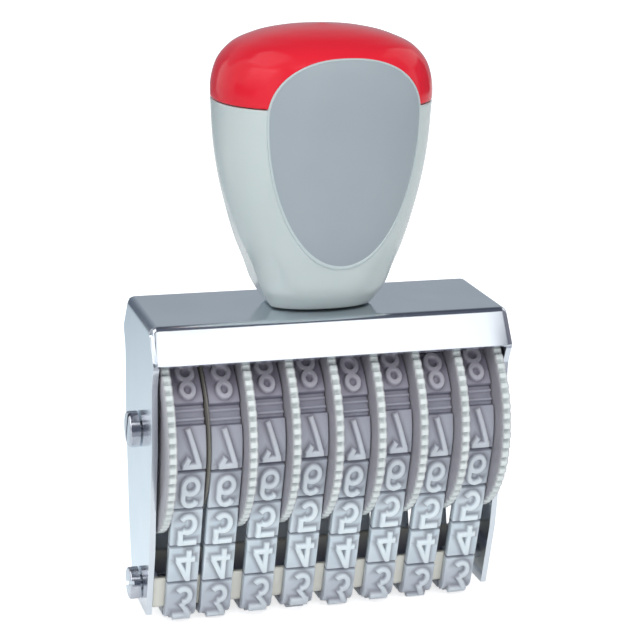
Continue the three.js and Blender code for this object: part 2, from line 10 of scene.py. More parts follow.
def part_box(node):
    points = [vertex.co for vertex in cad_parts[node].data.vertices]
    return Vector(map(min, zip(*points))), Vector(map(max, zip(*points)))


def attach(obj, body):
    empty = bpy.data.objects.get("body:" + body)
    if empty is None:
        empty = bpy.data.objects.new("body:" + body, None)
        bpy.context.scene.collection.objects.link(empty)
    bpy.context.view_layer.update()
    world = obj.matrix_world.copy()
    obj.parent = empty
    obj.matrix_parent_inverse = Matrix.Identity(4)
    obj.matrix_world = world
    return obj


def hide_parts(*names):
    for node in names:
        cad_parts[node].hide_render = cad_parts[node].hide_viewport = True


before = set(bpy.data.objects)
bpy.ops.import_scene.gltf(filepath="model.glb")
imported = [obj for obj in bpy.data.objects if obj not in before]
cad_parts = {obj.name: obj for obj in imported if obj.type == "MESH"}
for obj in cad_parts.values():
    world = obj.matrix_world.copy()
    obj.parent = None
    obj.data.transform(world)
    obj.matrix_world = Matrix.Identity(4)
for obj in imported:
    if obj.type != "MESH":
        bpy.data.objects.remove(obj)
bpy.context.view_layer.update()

MM = 0.001

# Camera, as fitted to the photograph: angles in degrees, places in millimetres
VIEW_AZIMUTH = -16.54
VIEW_ELEVATION = 15.75
VIEW_ROLL = 1.22
VIEW_DISTANCE = 454.9
VIEW_TARGET = (0.64, 0.0, 68.84)
VIEW_LENS = 110.25
VIEW_SHIFT_UP = 0.004

# Frame of bent sheet
SHEET = 1.4
BEND_RADIUS = 2.0
LIP_BEND = 2.2
LIP_START_DEPTH = 12.9
LIP_END_DEPTH = 19.43
LIP_DROP = 7.6
LIP_TILT = 54.6
LIP_TURN_LENGTH = 6.0
LIP_TURN_DEPTH = 0.6
SIDE_HALF_DEPTH = 15.4
# The plates' upper edges, as drops below the frame's top and half depths: ears inside the lips.
EAR_STATIONS = (
    (2.0, 12.9), (2.5, 13.4), (7.2, 16.9), (8.0, 17.3), (9.0, 17.2), (10.6, 16.5), (12.6, 15.7), (14.4, 15.4),
)
TAPER_HALF_DEPTH = 12.2
TAPER_RISE = 16.4
FOOT_HALF_DEPTH = 8.0
SHEET_EDGE = 0.22
CORNER_EASE = 1.5

# Band loop and its type
BAND_BASE = 0.9
PLINTH_HEIGHT = 1.2
RELIEF_HEIGHT = 1.1
PLINTH_GROOVE = 0.5
JOINT_LENGTH = 3.9
RIDGE_LENGTH = 0.8
RIDGE_HEIGHT = 0.55
RIDGE_SHARES = (0.25, 0.75)
GLYPH_HEIGHT = 8.4
GLYPH_WIDTH = 4.5
GLYPH_SHIFT = 0.2
STROKE_WIDTH = 1.2
BAND_SLIP_SHARES = (0.06, 0.02, 0.09, 0.13, -0.01, 0.07, -0.08, 0.04)
TYPE_RAMP = 0.3
# How far the painted shade about the type's feet reaches from the strokes.
FOOT_REACH = 1.3
PLINTH_RAMP = 0.22
BAND_EDGE = 0.22
BAND_CELL = 0.16
JOINT_GROOVE_SHARE = 0.35
BAR_FLAT = 10.5
BAR_CORNER = 1.75
BAR_WALL = 1.4
BAR_LIP = 0.25
BAND_GAP = 0.25
LOOP_TOP_RADIUS = 17.4
LOOP_CORNER = BAR_CORNER + BAND_GAP

# Thumbwheels
TOOTH_COUNT = 64
TOOTH_DEPTH = 0.9
FLANGE_THICKNESS = 2.2
DRUM_RADIUS = 17.15
BORE_RADIUS = 3.3
RIM_EDGE = 0.4
RIM_FADE = 0.6
RIM_WIDTH = 2.2
RECESS_DEPTH = 0.3
RECESS_INNER = 6.0
RECESS_OUTER = 20.0
RECESS_SLOPE = 0.4
DRUM_FILLET = 0.6
DRUM_FILLET_RUN = 0.2
DRUM_EDGE = 0.3
TOOTH_STEPS = 10
DIVIDER_EDGE = 0.2
DIVIDER_ROUNDING = 0.12
DISC_STEPS = 192

# Grip
GRIP_HEIGHT = 64.1
GRIP_HALF_WIDTH = 25.0
GRIP_HALF_DEPTH = 20.0
GRIP_SQUARENESS = 0.87
FACET_DEPTH = 0.9
FACET_TOP = 27.0
CAP_WALL = 2.4
SEAM_GAP = 0.24
SEAM_ROUNDING = 0.3
LABEL_SINK = 1.3
LABEL_THICKNESS = 1.2
LABEL_RIM = 0.45
LABEL_SLOPE = 0.9
LABEL_RING_STEPS = 240
LABEL_HALF_WIDTH = 17.8
LABEL_SHIFT = 1.0
CAP_EDGE_SHARE = 0.741
LABEL_TOP_SHARE = 0.914
LABEL_WIDEST_SHARE = 0.699
LABEL_BOTTOM_SHARE = 0.172
# The grip's half width and half depth at shares of its height.
GRIP_SHARES = (
    (0, 0.475, 0.41), (0.03, 0.525, 0.51), (0.08, 0.595, 0.66), (0.15, 0.66, 0.765), (0.23, 0.747, 0.855),
    (0.33, 0.837, 0.915), (0.45, 0.918, 0.955), (0.58, 0.972, 0.985), (0.7, 0.994, 1), (0.79, 1, 1),
    (0.86, 0.957, 0.967), (0.92, 0.84, 0.868), (0.96, 0.645, 0.68), (0.985, 0.388, 0.414), (1, 0, 0),
)

# Slotted screws in the side plates
SLOT_WIDTH = 1.0
SLOT_DEPTH = 0.9
SHANK_RADIUS = 1.8
HEAD_EDGE = 0.45
HEAD_CROWN = 0.12
HEAD_SEAT = 0.3
SHANK_EDGE = 0.3
SCREW_SLOT_TURNS = {"axle_screw": 0.3, "platen_screw": 1.2}


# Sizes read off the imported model, in millimetres
def node_span(node, axis):
    """Lowest and highest place of a node along one axis."""
    low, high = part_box(node)
    return low[axis] / MM, high[axis] / MM


AXLE_LOW, AXLE_HIGH = node_span("wheel_axle", 2)
AXIS_HEIGHT = (AXLE_LOW + AXLE_HIGH) / 2
WHEEL_RADIUS = node_span("wheel_1", 2)[1] - AXIS_HEIGHT
OUTER_HALF = node_span("frame_shell", 0)[1]
FRAME_HEIGHT = node_span("frame_shell", 2)[1]
FOOT_HEIGHT = node_span("frame_shell", 2)[0]
GRIP_BASE = node_span("handle_body", 2)[0]
BAND_STACK = BAND_BASE + PLINTH_HEIGHT + RELIEF_HEIGHT


# Mesh building
def grid_faces(rows, columns, wrap_rows=False, wrap_columns=True):
    """Corner numbers of the cells of a grid whose points are numbered row after row."""
    row = np.arange(rows if wrap_rows else rows - 1)
    column = np.arange(columns if wrap_columns else columns - 1)
    r, c = np.meshgrid(row, column, indexing="ij")
    next_r = (r + 1) % rows
    next_c = (c + 1) % columns
    corners = [r * columns + c, r * columns + next_c, next_r * columns + next_c, next_r * columns + c]
    return np.stack(corners, axis=-1).reshape(-1, 4)


def fan_faces(ring, centre):
    """Triangles from each side of a ring of points to one centre point."""
    ring = np.asarray(ring)
    return np.stack([ring, np.roll(ring, -1), np.full(len(ring), centre)], axis=-1)


def facing_out(points, faces):
    """The faces turned so that the body they close has a positive volume."""
    volume = 0.0
    for group in faces:
        corner = points[group]
        for k in range(1, group.shape[1] - 1):
            cross = np.cross(corner[:, k], corner[:, k + 1])
            volume += np.einsum("ij,ij->", corner[:, 0], cross)
    return faces if volume > 0 else [group[:, ::-1] for group in faces]


def make_mesh(name, points, faces, values=None):
    """A smooth mesh from points in millimetres and groups of faces, with named values at its points."""
    points = np.asarray(points, dtype=float).reshape(-1, 3)
    faces = facing_out(points, faces)
    mesh = bpy.data.meshes.new(name)
    mesh.from_pydata((points * MM).tolist(), [], [face for group in faces for face in group.tolist()])
    for key, value in (values or {}).items():
        layer = mesh.attributes.new(key, "FLOAT", "POINT")
        layer.data.foreach_set("value", np.asarray(value, dtype=np.float32).ravel())
    mesh.shade_smooth()
    return mesh


def add_piece(name, mesh, material, body="frame", replaced=None):
    """Puts a mesh in the scene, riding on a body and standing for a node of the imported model."""
    piece = bpy.data.objects.new(name, mesh)
    bpy.context.scene.collection.objects.link(piece)
    mesh.materials.append(material)
    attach(piece, body)
    if replaced:
        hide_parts(replaced)
    return piece


def closed_rows(rows):
    """Points and faces of a body made of closed rings, row after row, its two ends closed by fans."""
    count, ring, _ = rows.shape
    points = np.concatenate([rows.reshape(-1, 3), rows[:1].mean(axis=1), rows[-1:].mean(axis=1)])
    first = np.arange(ring)
    last = (count - 1) * ring + first
    faces = [
        grid_faces(count, ring),
        fan_faces(first[::-1], count * ring),
        fan_faces(last, count * ring + 1),
    ]
    return points, faces


def smooth_step(value):
    """A ramp from 0 to 1 that starts and ends level."""
    value = np.clip(value, 0, 1)
    return value * value * (3 - 2 * value)


def smooth_curve(stations, count):
    """Points along a cubic curve through the stations. The knots grow by the square root of each chord, the
    slopes are the stations' gradient over the knots, and the points lie evenly over the knots."""
    stations = np.asarray(stations, dtype=float)
    steps = np.linalg.norm(np.diff(stations, axis=0), axis=1) ** 0.5
    knots = np.concatenate([[0], np.cumsum(steps)])
    slopes = np.gradient(stations, knots, axis=0)
    t = np.linspace(0, knots[-1], count)
    cell = np.clip(np.searchsorted(knots, t, side="right") - 1, 0, len(steps) - 1)
    width = steps[cell][:, None]
    s = ((t - knots[cell]) / steps[cell])[:, None]
    start, end = stations[cell], stations[cell + 1]
    leave, arrive = slopes[cell] * width, slopes[cell + 1] * width
    return (
        start * (1 + 2 * s) * (1 - s) ** 2 + leave * s * (1 - s) ** 2
        + end * s * s * (3 - 2 * s) + arrive * s * s * (s - 1)
    )


# Shader node groups shared by the materials
def new_group(name, inputs, outputs):
    """An empty shader group with its sockets."""
    group = bpy.data.node_groups.new(name, "ShaderNodeTree")
    for label, kind, value in inputs:
        socket = group.interface.new_socket(label, in_out="INPUT", socket_type=kind)
        socket.default_value = value
    for label, kind in outputs:
        group.interface.new_socket(label, in_out="OUTPUT", socket_type=kind)
    start = group.nodes.new("NodeGroupInput")
    end = group.nodes.new("NodeGroupOutput")
    return group, start, end


def make_mottle_group():
    """Slow cloudy variation and fine grain, for colour and roughness."""
    group, start, end = new_group(
        "mottle",
        [("Cloud Scale", "NodeSocketFloat", 60.0), ("Grain Scale", "NodeSocketFloat", 900.0)],
        [("Cloud", "NodeSocketFloat"), ("Grain", "NodeSocketFloat")],
    )
    place = group.nodes.new("ShaderNodeTexCoord")
    for label, scale, detail in (("Cloud", "Cloud Scale", 3.0), ("Grain", "Grain Scale", 2.0)):
        noise = group.nodes.new("ShaderNodeTexNoise")
        noise.inputs["Detail"].default_value = detail
        group.links.new(place.outputs["Object"], noise.inputs["Vector"])
        group.links.new(start.outputs[scale], noise.inputs["Scale"])
        group.links.new(noise.outputs["Fac"], end.inputs[label])
    return group


def make_scratch_group():
    """Fine hairline scratches: noise drawn out along one axis, as a mask."""
    group, start, end = new_group(
        "scratches",
        [("Stretch", "NodeSocketVector", (1.0, 1.0, 1.0)), ("Scale", "NodeSocketFloat", 400.0)],
        [("Scratch", "NodeSocketFloat")],
    )
    place = group.nodes.new("ShaderNodeTexCoord")
    drawn = group.nodes.new("ShaderNodeVectorMath")
    drawn.operation = "MULTIPLY"
    noise = group.nodes.new("ShaderNodeTexNoise")
    noise.inputs["Detail"].default_value = 4.0
    group.links.new(place.outputs["Object"], drawn.inputs[0])
    group.links.new(start.outputs["Stretch"], drawn.inputs[1])
    group.links.new(drawn.outputs["Vector"], noise.inputs["Vector"])
    group.links.new(start.outputs["Scale"], noise.inputs["Scale"])
    group.links.new(noise.outputs["Fac"], end.inputs["Scratch"])
    return group


MOTTLE = make_mottle_group()
SCRATCHES = make_scratch_group()


class Finish:
    """A material with one Principled shader, and short ways to add the nodes that feed it."""

    def __init__(self, name, colour, roughness, metallic=0.0):
        self.material = bpy.data.materials.new(name)
        self.material.use_nodes = True
        self.tree = self.material.node_tree
        self.shader = self.tree.nodes["Principled BSDF"]
        self.colour = (*colour, 1.0)
        self.shader.inputs["Base Color"].default_value = self.colour
        self.shader.inputs["Roughness"].default_value = roughness
        self.shader.inputs["Metallic"].default_value = metallic

    def node(self, kind, **settings):
        made = self.tree.nodes.new(kind)
        for key, value in settings.items():
            setattr(made, key, value)
        return made

    def join(self, output, target):
        self.tree.links.new(output, target)

    def group(self, tree, **values):
        made = self.node("ShaderNodeGroup", node_tree=tree)
        for key, value in values.items():
            made.inputs[key.replace("_", " ")].default_value = value
        return made

    def spread(self, value, low, high, to_low, to_high):
        """A value carried from one range to another, held at the ends."""
        made = self.node("ShaderNodeMapRange")
        for key, number in (("From Min", low), ("From Max", high), ("To Min", to_low), ("To Max", to_high)):
            made.inputs[key].default_value = number
        self.join(value, made.inputs["Value"])
        return made.outputs["Result"]

    def blend(self, factor, first, second):
        """One colour over another by a factor; each colour is a plain one or a socket."""
        made = self.node("ShaderNodeMix", data_type="RGBA")
        self.join(factor, made.inputs["Factor"])
        for colour, target in ((first, made.inputs["A"]), (second, made.inputs["B"])):
            if isinstance(colour, tuple):
                target.default_value = (*colour, 1.0)
            else:
                self.join(colour, target)
        return made.outputs["Result"]

    def clouded(self, mottle, shade, light):
        """A colour that drifts between two others with the slow clouds."""
        return self.blend(self.spread(mottle.outputs["Cloud"], 0.3, 0.7, 0, 1), shade, light)

    def attribute(self, name):
        return self.node("ShaderNodeAttribute", attribute_name=name).outputs["Fac"]

    def colour_from(self, socket):
        self.join(socket, self.shader.inputs["Base Color"])

    def roughness_from(self, socket):
        self.join(socket, self.shader.inputs["Roughness"])

    def bump(self, height, strength, distance):
        made = self.node("ShaderNodeBump")
        made.inputs["Strength"].default_value = strength
        made.inputs["Distance"].default_value = distance * MM
        self.join(height, made.inputs["Height"])
        self.join(made.outputs["Normal"], self.shader.inputs["Normal"])


def plated_steel():
    """Bright nickel plate on bent sheet: faint clouds in colour and gloss, and fine drawn lines."""
    look = Finish("plated_steel", (0.71, 0.76, 0.81), 0.14, 1.0)
    mottle = look.group(MOTTLE, Cloud_Scale=45.0, Grain_Scale=700.0)
    lines = look.group(SCRATCHES, Stretch=(0.06, 1.0, 1.0), Scale=900.0)
    look.colour_from(look.clouded(mottle, (0.67, 0.72, 0.78), (0.76, 0.80, 0.84)))
    look.roughness_from(look.spread(mottle.outputs["Cloud"], 0.3, 0.75, 0.1, 0.2))
    look.bump(lines.outputs["Scratch"], 0.12, 0.02)
    return look.material


def screw_steel():
    """Turned steel of the screws, darker than the plate, with slow clouds in its colour and a fine grain."""
    look = Finish("screw_steel", (0.55, 0.57, 0.62), 0.2, 1.0)
    mottle = look.group(MOTTLE, Cloud_Scale=300.0, Grain_Scale=2500.0)
    look.colour_from(look.blend(
        look.spread(mottle.outputs["Cloud"], 0.35, 0.7, 0, 1), (0.5, 0.52, 0.58), (0.62, 0.64, 0.68)))
    look.roughness_from(look.spread(mottle.outputs["Grain"], 0.3, 0.7, 0.14, 0.26))
    look.bump(mottle.outputs["Grain"], 0.08, 0.01)
    return look.material


def turned_brass():
    """Turned brass of the threaded insert."""
    look = Finish("turned_brass", (0.66, 0.5, 0.24), 0.3, 1.0)
    mottle = look.group(MOTTLE, Cloud_Scale=300.0, Grain_Scale=2500.0)
    look.colour_from(look.clouded(mottle, (0.6, 0.44, 0.2), (0.74, 0.58, 0.3)))
    look.roughness_from(look.spread(mottle.outputs["Grain"], 0.3, 0.7, 0.22, 0.4))
    return look.material


def moulded_plastic(name, shade, light, roughness, translucence, grain_strength):
    """Satin moulded plastic: slow clouds of colour, a fine grain in the gloss and the surface."""
    look = Finish(name, shade, roughness)
    mottle = look.group(MOTTLE, Cloud_Scale=90.0, Grain_Scale=1800.0)
    look.colour_from(look.clouded(mottle, shade, light))
    look.roughness_from(look.spread(mottle.outputs["Grain"], 0.25, 0.75, roughness - 0.06, roughness + 0.08))
    look.bump(mottle.outputs["Grain"], grain_strength, 0.03)
    look.shader.inputs["Subsurface Weight"].default_value = translucence
    look.shader.inputs["Subsurface Radius"].default_value = (0.9, 0.95, 1.0)
    look.shader.inputs["Subsurface Scale"].default_value = 1.2 * MM
    return look.material


def bar_plastic():
    """Cream satin plastic of the bar, with painted bluish shade in its hollow."""
    look = Finish("bar_plastic", (0.85, 0.83, 0.75), 0.42)
    mottle = look.group(MOTTLE, Cloud_Scale=90.0, Grain_Scale=1800.0)
    cream = look.clouded(mottle, (0.82, 0.8, 0.71), (0.88, 0.86, 0.78))
    # Painted shade: the floor of the hollow is darkened to a bluish grey.
    look.colour_from(look.blend(look.attribute("hollow"), cream, (0.4, 0.42, 0.56)))
    look.roughness_from(look.spread(mottle.outputs["Grain"], 0.25, 0.75, 0.36, 0.5))
    look.bump(mottle.outputs["Grain"], 0.1, 0.03)
    return look.material


def wheel_plastic():
    """Off-white satin plastic of the thumbwheels, with painted shade on the flat sides and in the notches."""
    look = Finish("wheel_plastic", (0.7, 0.75, 0.74), 0.36)
    mottle = look.group(MOTTLE, Cloud_Scale=120.0, Grain_Scale=1800.0)
    clean = look.clouded(mottle, (0.7, 0.75, 0.74), (0.8, 0.84, 0.83))
    # Painted shade: the flange's flat sides and the drum take a dark purple grey, and only the rim's crest
    # keeps the clean colour.
    shaded = look.blend(look.attribute("rim"), (0.4, 0.385, 0.42), clean)
    # Painted shade in the notches between the teeth.
    notch_shade = look.spread(look.attribute("notch"), 0.15, 1.0, 0.0, 0.55)
    look.colour_from(look.blend(notch_shade, shaded, (0.3, 0.32, 0.34)))
    look.roughness_from(look.spread(mottle.outputs["Grain"], 0.25, 0.75, 0.3, 0.44))
    look.bump(mottle.outputs["Grain"], 0.08, 0.03)
    look.shader.inputs["Subsurface Weight"].default_value = 0.15
    look.shader.inputs["Subsurface Radius"].default_value = (1.0, 1.0, 0.95)
    look.shader.inputs["Subsurface Scale"].default_value = 1.0 * MM
    return look.material


def type_rubber():
    """Pale type rubber, a little translucent: blue-white above the bar, with painted purple-grey shade higher
    up under the hood and partly so near the floor. The faces of the type carry a painted highlight, with
    painted shade about their feet and in the grooves."""
    look = Finish("type_rubber", (0.6, 0.68, 0.74), 0.33)
    mottle = look.group(MOTTLE, Cloud_Scale=150.0, Grain_Scale=2200.0)
    height = look.node("ShaderNodeSeparateXYZ")
    look.join(look.node("ShaderNodeTexCoord").outputs["Object"], height.inputs["Vector"])
    # Painted shade by height: a purple grey from 26 mm up, where the hood shades the rows, and partly so
    # below 16 mm near the floor.
    painted_shade = look.node("ShaderNodeMath", operation="MAXIMUM")
    look.join(look.spread(height.outputs["Z"], 26 * MM, 60 * MM, 0, 1), painted_shade.inputs[0])
    look.join(look.spread(height.outputs["Z"], 5 * MM, 16 * MM, 0.45, 0), painted_shade.inputs[1])
    clean = look.clouded(mottle, (0.61, 0.69, 0.75), (0.69, 0.76, 0.81))
    ground = look.blend(painted_shade.outputs["Value"], clean, (0.3, 0.28, 0.345))
    # Painted highlight on the type's faces, whiter on the low rows and dimmed by the painted shade higher up.
    faces = look.blend(painted_shade.outputs["Value"], (0.8, 0.88, 0.92), (0.41, 0.395, 0.45))
    # Painted shade about the feet of the type and in its counters.
    shaded = look.blend(look.spread(look.attribute("type_foot_shade"), 0, 0.9, 0, 0.55), ground, (0.2, 0.19, 0.23))
    raised = look.blend(look.spread(look.attribute("type_face_highlight"), 0.2, 0.9, 0, 1), shaded, faces)
    # Painted shade in the grooves between plinths and in the joint strip.
    painted_groove_shade = look.spread(look.attribute("groove"), 0, 1, 0, 0.8)
    look.colour_from(look.blend(painted_groove_shade, raised, (0.1, 0.1, 0.15)))
    look.roughness_from(look.spread(mottle.outputs["Grain"], 0.25, 0.75, 0.26, 0.42))
    look.bump(mottle.outputs["Grain"], 0.1, 0.04)
    look.shader.inputs["Subsurface Weight"].default_value = 0.3
    look.shader.inputs["Subsurface Radius"].default_value = (0.8, 0.9, 1.0)
    look.shader.inputs["Subsurface Scale"].default_value = 1.5 * MM
    return look.material


def gloss_plastic(name, shade, light, roughness, coat, reflectance):
    """Polished moulded plastic under a clear gloss, its surface waving very slightly."""
    look = Finish(name, shade, roughness)
    mottle = look.group(MOTTLE, Cloud_Scale=28.0, Grain_Scale=1500.0)
    look.colour_from(look.clouded(mottle, shade, light))
    look.roughness_from(look.spread(mottle.outputs["Cloud"], 0.3, 0.7, roughness - 0.04, roughness + 0.05))
    look.bump(mottle.outputs["Grain"], 0.03, 0.02)
    look.shader.inputs["Specular IOR Level"].default_value = reflectance
    look.shader.inputs["Coat Weight"].default_value = coat
    look.shader.inputs["Coat Roughness"].default_value = 0.08
    look.shader.inputs["Subsurface Weight"].default_value = 0.08
    look.shader.inputs["Subsurface Scale"].default_value = 1.0 * MM
    return look.material


def label_film():
    """Plain blue-grey film, bare, with a paler raised edge."""
    look = Finish("label_film", (0.36, 0.41, 0.46), 0.5)
    mottle = look.group(MOTTLE, Cloud_Scale=35.0, Grain_Scale=2600.0)
    film = look.clouded(mottle, (0.32, 0.365, 0.405), (0.355, 0.4, 0.43))
    look.colour_from(look.blend(look.spread(look.attribute("rim"), 0.3, 0.7, 0, 1), film, (0.52, 0.59, 0.6)))
    look.roughness_from(look.spread(mottle.outputs["Grain"], 0.3, 0.7, 0.36, 0.5))
    look.bump(mottle.outputs["Grain"], 0.06, 0.02)
    return look.material


STEEL = plated_steel()
SCREW = screw_steel()
BRASS = turned_brass()
WHEEL = wheel_plastic()
RUBBER = type_rubber()
BAR = bar_plastic()
DIVIDER = moulded_plastic("divider_plastic", (0.16, 0.15, 0.14), (0.21, 0.2, 0.17), 0.5, 0.0, 0.1)
GRIP = gloss_plastic("grip_plastic", (0.53, 0.595, 0.59), (0.57, 0.635, 0.63), 0.2, 0.3, 0.45)
CAP = gloss_plastic("cap_plastic", (0.74, 0.016, 0.034), (0.8, 0.02, 0.04), 0.15, 0.0, 0.22)
LABEL = label_film()


# Type bands
def loop_parts():
    """The band's way round as runs and arcs: a flat under the bar, a corner, a slanted run up the back, the
    wheel's arc, a slanted run down the front, a corner and the other half of the flat."""
    corner_height = BAND_STACK + LOOP_CORNER
    rise = AXIS_HEIGHT - corner_height
    half = BAR_FLAT / 2
    reach = math.hypot(half, rise)
    slant = math.asin((LOOP_TOP_RADIUS - LOOP_CORNER) / reach) - math.atan2(half, rise)
    run = math.sqrt(reach ** 2 - (LOOP_TOP_RADIUS - LOOP_CORNER) ** 2)
    down = -math.pi / 2
    up_back = (half + LOOP_CORNER * math.cos(slant), corner_height - LOOP_CORNER * math.sin(slant))
    down_front = (-LOOP_TOP_RADIUS * math.cos(slant), AXIS_HEIGHT - LOOP_TOP_RADIUS * math.sin(slant))
    parts = [
        {"at": (0, BAND_STACK), "angles": (down, down), "length": half},
        {"centre": (half, corner_height), "radius": LOOP_CORNER, "angles": (down, -slant)},
        {"at": up_back, "angles": (-slant, -slant), "length": run},
        {"centre": (0, AXIS_HEIGHT), "radius": LOOP_TOP_RADIUS, "angles": (-slant, math.pi + slant)},
        {"at": down_front, "angles": (math.pi + slant, math.pi + slant), "length": run},
        {"centre": (-half, corner_height), "radius": LOOP_CORNER, "angles": (math.pi + slant, 1.5 * math.pi)},
        {"at": (-half, BAND_STACK), "angles": (1.5 * math.pi, 1.5 * math.pi), "length": half},
    ]
    start = 0.0
    for part in parts:
        if "centre" in part:
            first, last = part["angles"]
            part["length"] = (part["radius"] + BAND_BASE / 2) * (last - first)
        part["start"] = start
        start += part["length"]
    return parts, start, slant


LOOP, LOOP_LENGTH, SLANT = loop_parts()


def loop_place(way, height):
    """Y and Z at a way round the loop and a height above the band's inner face. On a run the point goes
    straight on and out along the run's normal; on an arc it turns about the arc's centre."""
    way = np.mod(way, LOOP_LENGTH)
    y = np.zeros(np.broadcast(way, height).shape)
    z = np.zeros_like(y)
    for part in LOOP:
        share = (way - part["start"]) / part["length"]
        first, last = part["angles"]
        angle = first + (last - first) * share
        if "centre" in part:
            reach = part["radius"] + height
            part_y = part["centre"][0] + reach * np.cos(angle)
            part_z = part["centre"][1] + reach * np.sin(angle)
        else:
            rest = share * part["length"]
            part_y = part["at"][0] - rest * np.sin(angle) + height * np.cos(angle)
            part_z = part["at"][1] + rest * np.cos(angle) + height * np.sin(angle)
        inside = np.broadcast_to((share >= 0) & (share < 1), y.shape)
        y = np.where(inside, part_y, y)
        z = np.where(inside, part_z, z)
    return y, z


# Symbols round the band, from the one that prints on over the back and the wheel to the front.
SYMBOLS = ("2", "1", "0", " ", "-", "/", ".", " ", "9", "8", "7", "6", "5", "4", "3")
JOINT_AFTER = SYMBOLS.index("8")
PLINTH_PITCH = (LOOP_LENGTH - JOINT_LENGTH) / len(SYMBOLS)

# Strokes of each figure. Places and radii are shares of the figure's width and height, its middle at 0,
# its top at 0.5 and its right side at 0.5; an arc's last two numbers are its ends in half turns.
FIGURE_SHARES = {
    "0": [("arc", 0, 0, 0.5, 0.5, 0, 2)],
    "1": [("line", 0.08, -0.5, 0.08, 0.5), ("line", -0.3, 0.28, 0.08, 0.46)],
    "2": [("arc", 0, 0.22, 0.46, 0.28, -0.25, 1), ("line", 0.36, 0.13, -0.38, -0.43),
          ("line", -0.5, -0.43, 0.5, -0.43)],
    "3": [("line", -0.5, 0.43, 0.5, 0.43), ("line", 0.36, 0.42, -0.08, 0.08),
          ("arc", 0.02, -0.2, 0.48, 0.3, -0.8, 0.55)],
    "4": [("line", 0.16, -0.5, 0.16, 0.5), ("line", 0.12, 0.44, -0.4, -0.18),
          ("line", -0.5, -0.22, 0.5, -0.22)],
    "5": [("line", -0.5, 0.43, 0.5, 0.43), ("line", -0.34, 0.46, -0.36, 0.04),
          ("arc", -0.02, -0.17, 0.5, 0.33, -0.82, 0.72)],
    "6": [("arc", 0, -0.19, 0.5, 0.31, 0, 2), ("arc", 0, 0.2, 0.5, 0.3, 0.15, 1),
          ("line", -0.37, 0.22, -0.37, -0.2)],
    "7": [("line", -0.5, 0.43, 0.5, 0.43), ("line", 0.36, 0.42, -0.2, -0.5),
          ("line", -0.42, 0.44, -0.14, 0.22)],
    "8": [("arc", 0, 0.25, 0.44, 0.25, 0, 2), ("arc", 0, -0.22, 0.5, 0.28, 0, 2)],
    "9": [("arc", 0, 0.19, 0.5, 0.31, 0, 2), ("arc", 0, -0.2, 0.5, 0.3, 1.15, 2),
          ("line", 0.37, -0.22, 0.37, 0.2)],
    "-": [("line", -0.5, 0, 0.5, 0)],
    "/": [("line", -0.36, -0.46, 0.36, 0.46)],
    ".": [("line", 0, -0.47, 0, -0.33)],
}


def line_distance(u, v, x1, y1, x2, y2):
    """Distance outside a straight stroke with square ends, negative inside it."""
    start = np.array([x1 * GLYPH_WIDTH, y1 * GLYPH_HEIGHT])
    end = np.array([x2 * GLYPH_WIDTH, y2 * GLYPH_HEIGHT])
    length = np.linalg.norm(end - start)
    along = (end - start) / length
    middle = (start + end) / 2
    forward = (u - middle[0]) * along[0] + (v - middle[1]) * along[1]
    sideways = (v - middle[1]) * along[0] - (u - middle[0]) * along[1]
    return np.maximum(np.abs(sideways) - STROKE_WIDTH / 2, np.abs(forward) - length / 2)


def arc_distance(u, v, x, y, across, up, first, last):
    """Distance outside a stroke along part of an oval, negative inside it: the oval's implicit value over
    its slope, and past the stroke's ends the arc length left over."""
    a = across * GLYPH_WIDTH - STROKE_WIDTH / 2
    b = up * GLYPH_HEIGHT - STROKE_WIDTH / 2
    u = u - x * GLYPH_WIDTH
    v = v - y * GLYPH_HEIGHT
    level = np.hypot(u / a, v / b) + 1e-6
    slope = np.hypot(u / a ** 2, v / b ** 2) / level + 1e-6
    ring = np.abs(level - 1) / slope - STROKE_WIDTH / 2
    if last - first >= 2:
        return ring
    turn = np.arctan2(v / b, u / a) - math.pi * (first + last) / 2
    turn = np.abs(np.mod(turn + math.pi, 2 * math.pi) - math.pi)
    excess = (turn - math.pi * (last - first) / 2) * (a + b) / 2
    return np.maximum(ring, excess)


def figure_distance(symbol, u, v):
    """Distance outside a figure, the least of its strokes' distances."""
    distance = np.full(np.broadcast(u, v).shape, float(GLYPH_HEIGHT))
    for kind, *shares in FIGURE_SHARES.get(symbol, []):
        measure = line_distance if kind == "line" else arc_distance
        distance = np.minimum(distance, measure(u, v, *shares))
    return distance


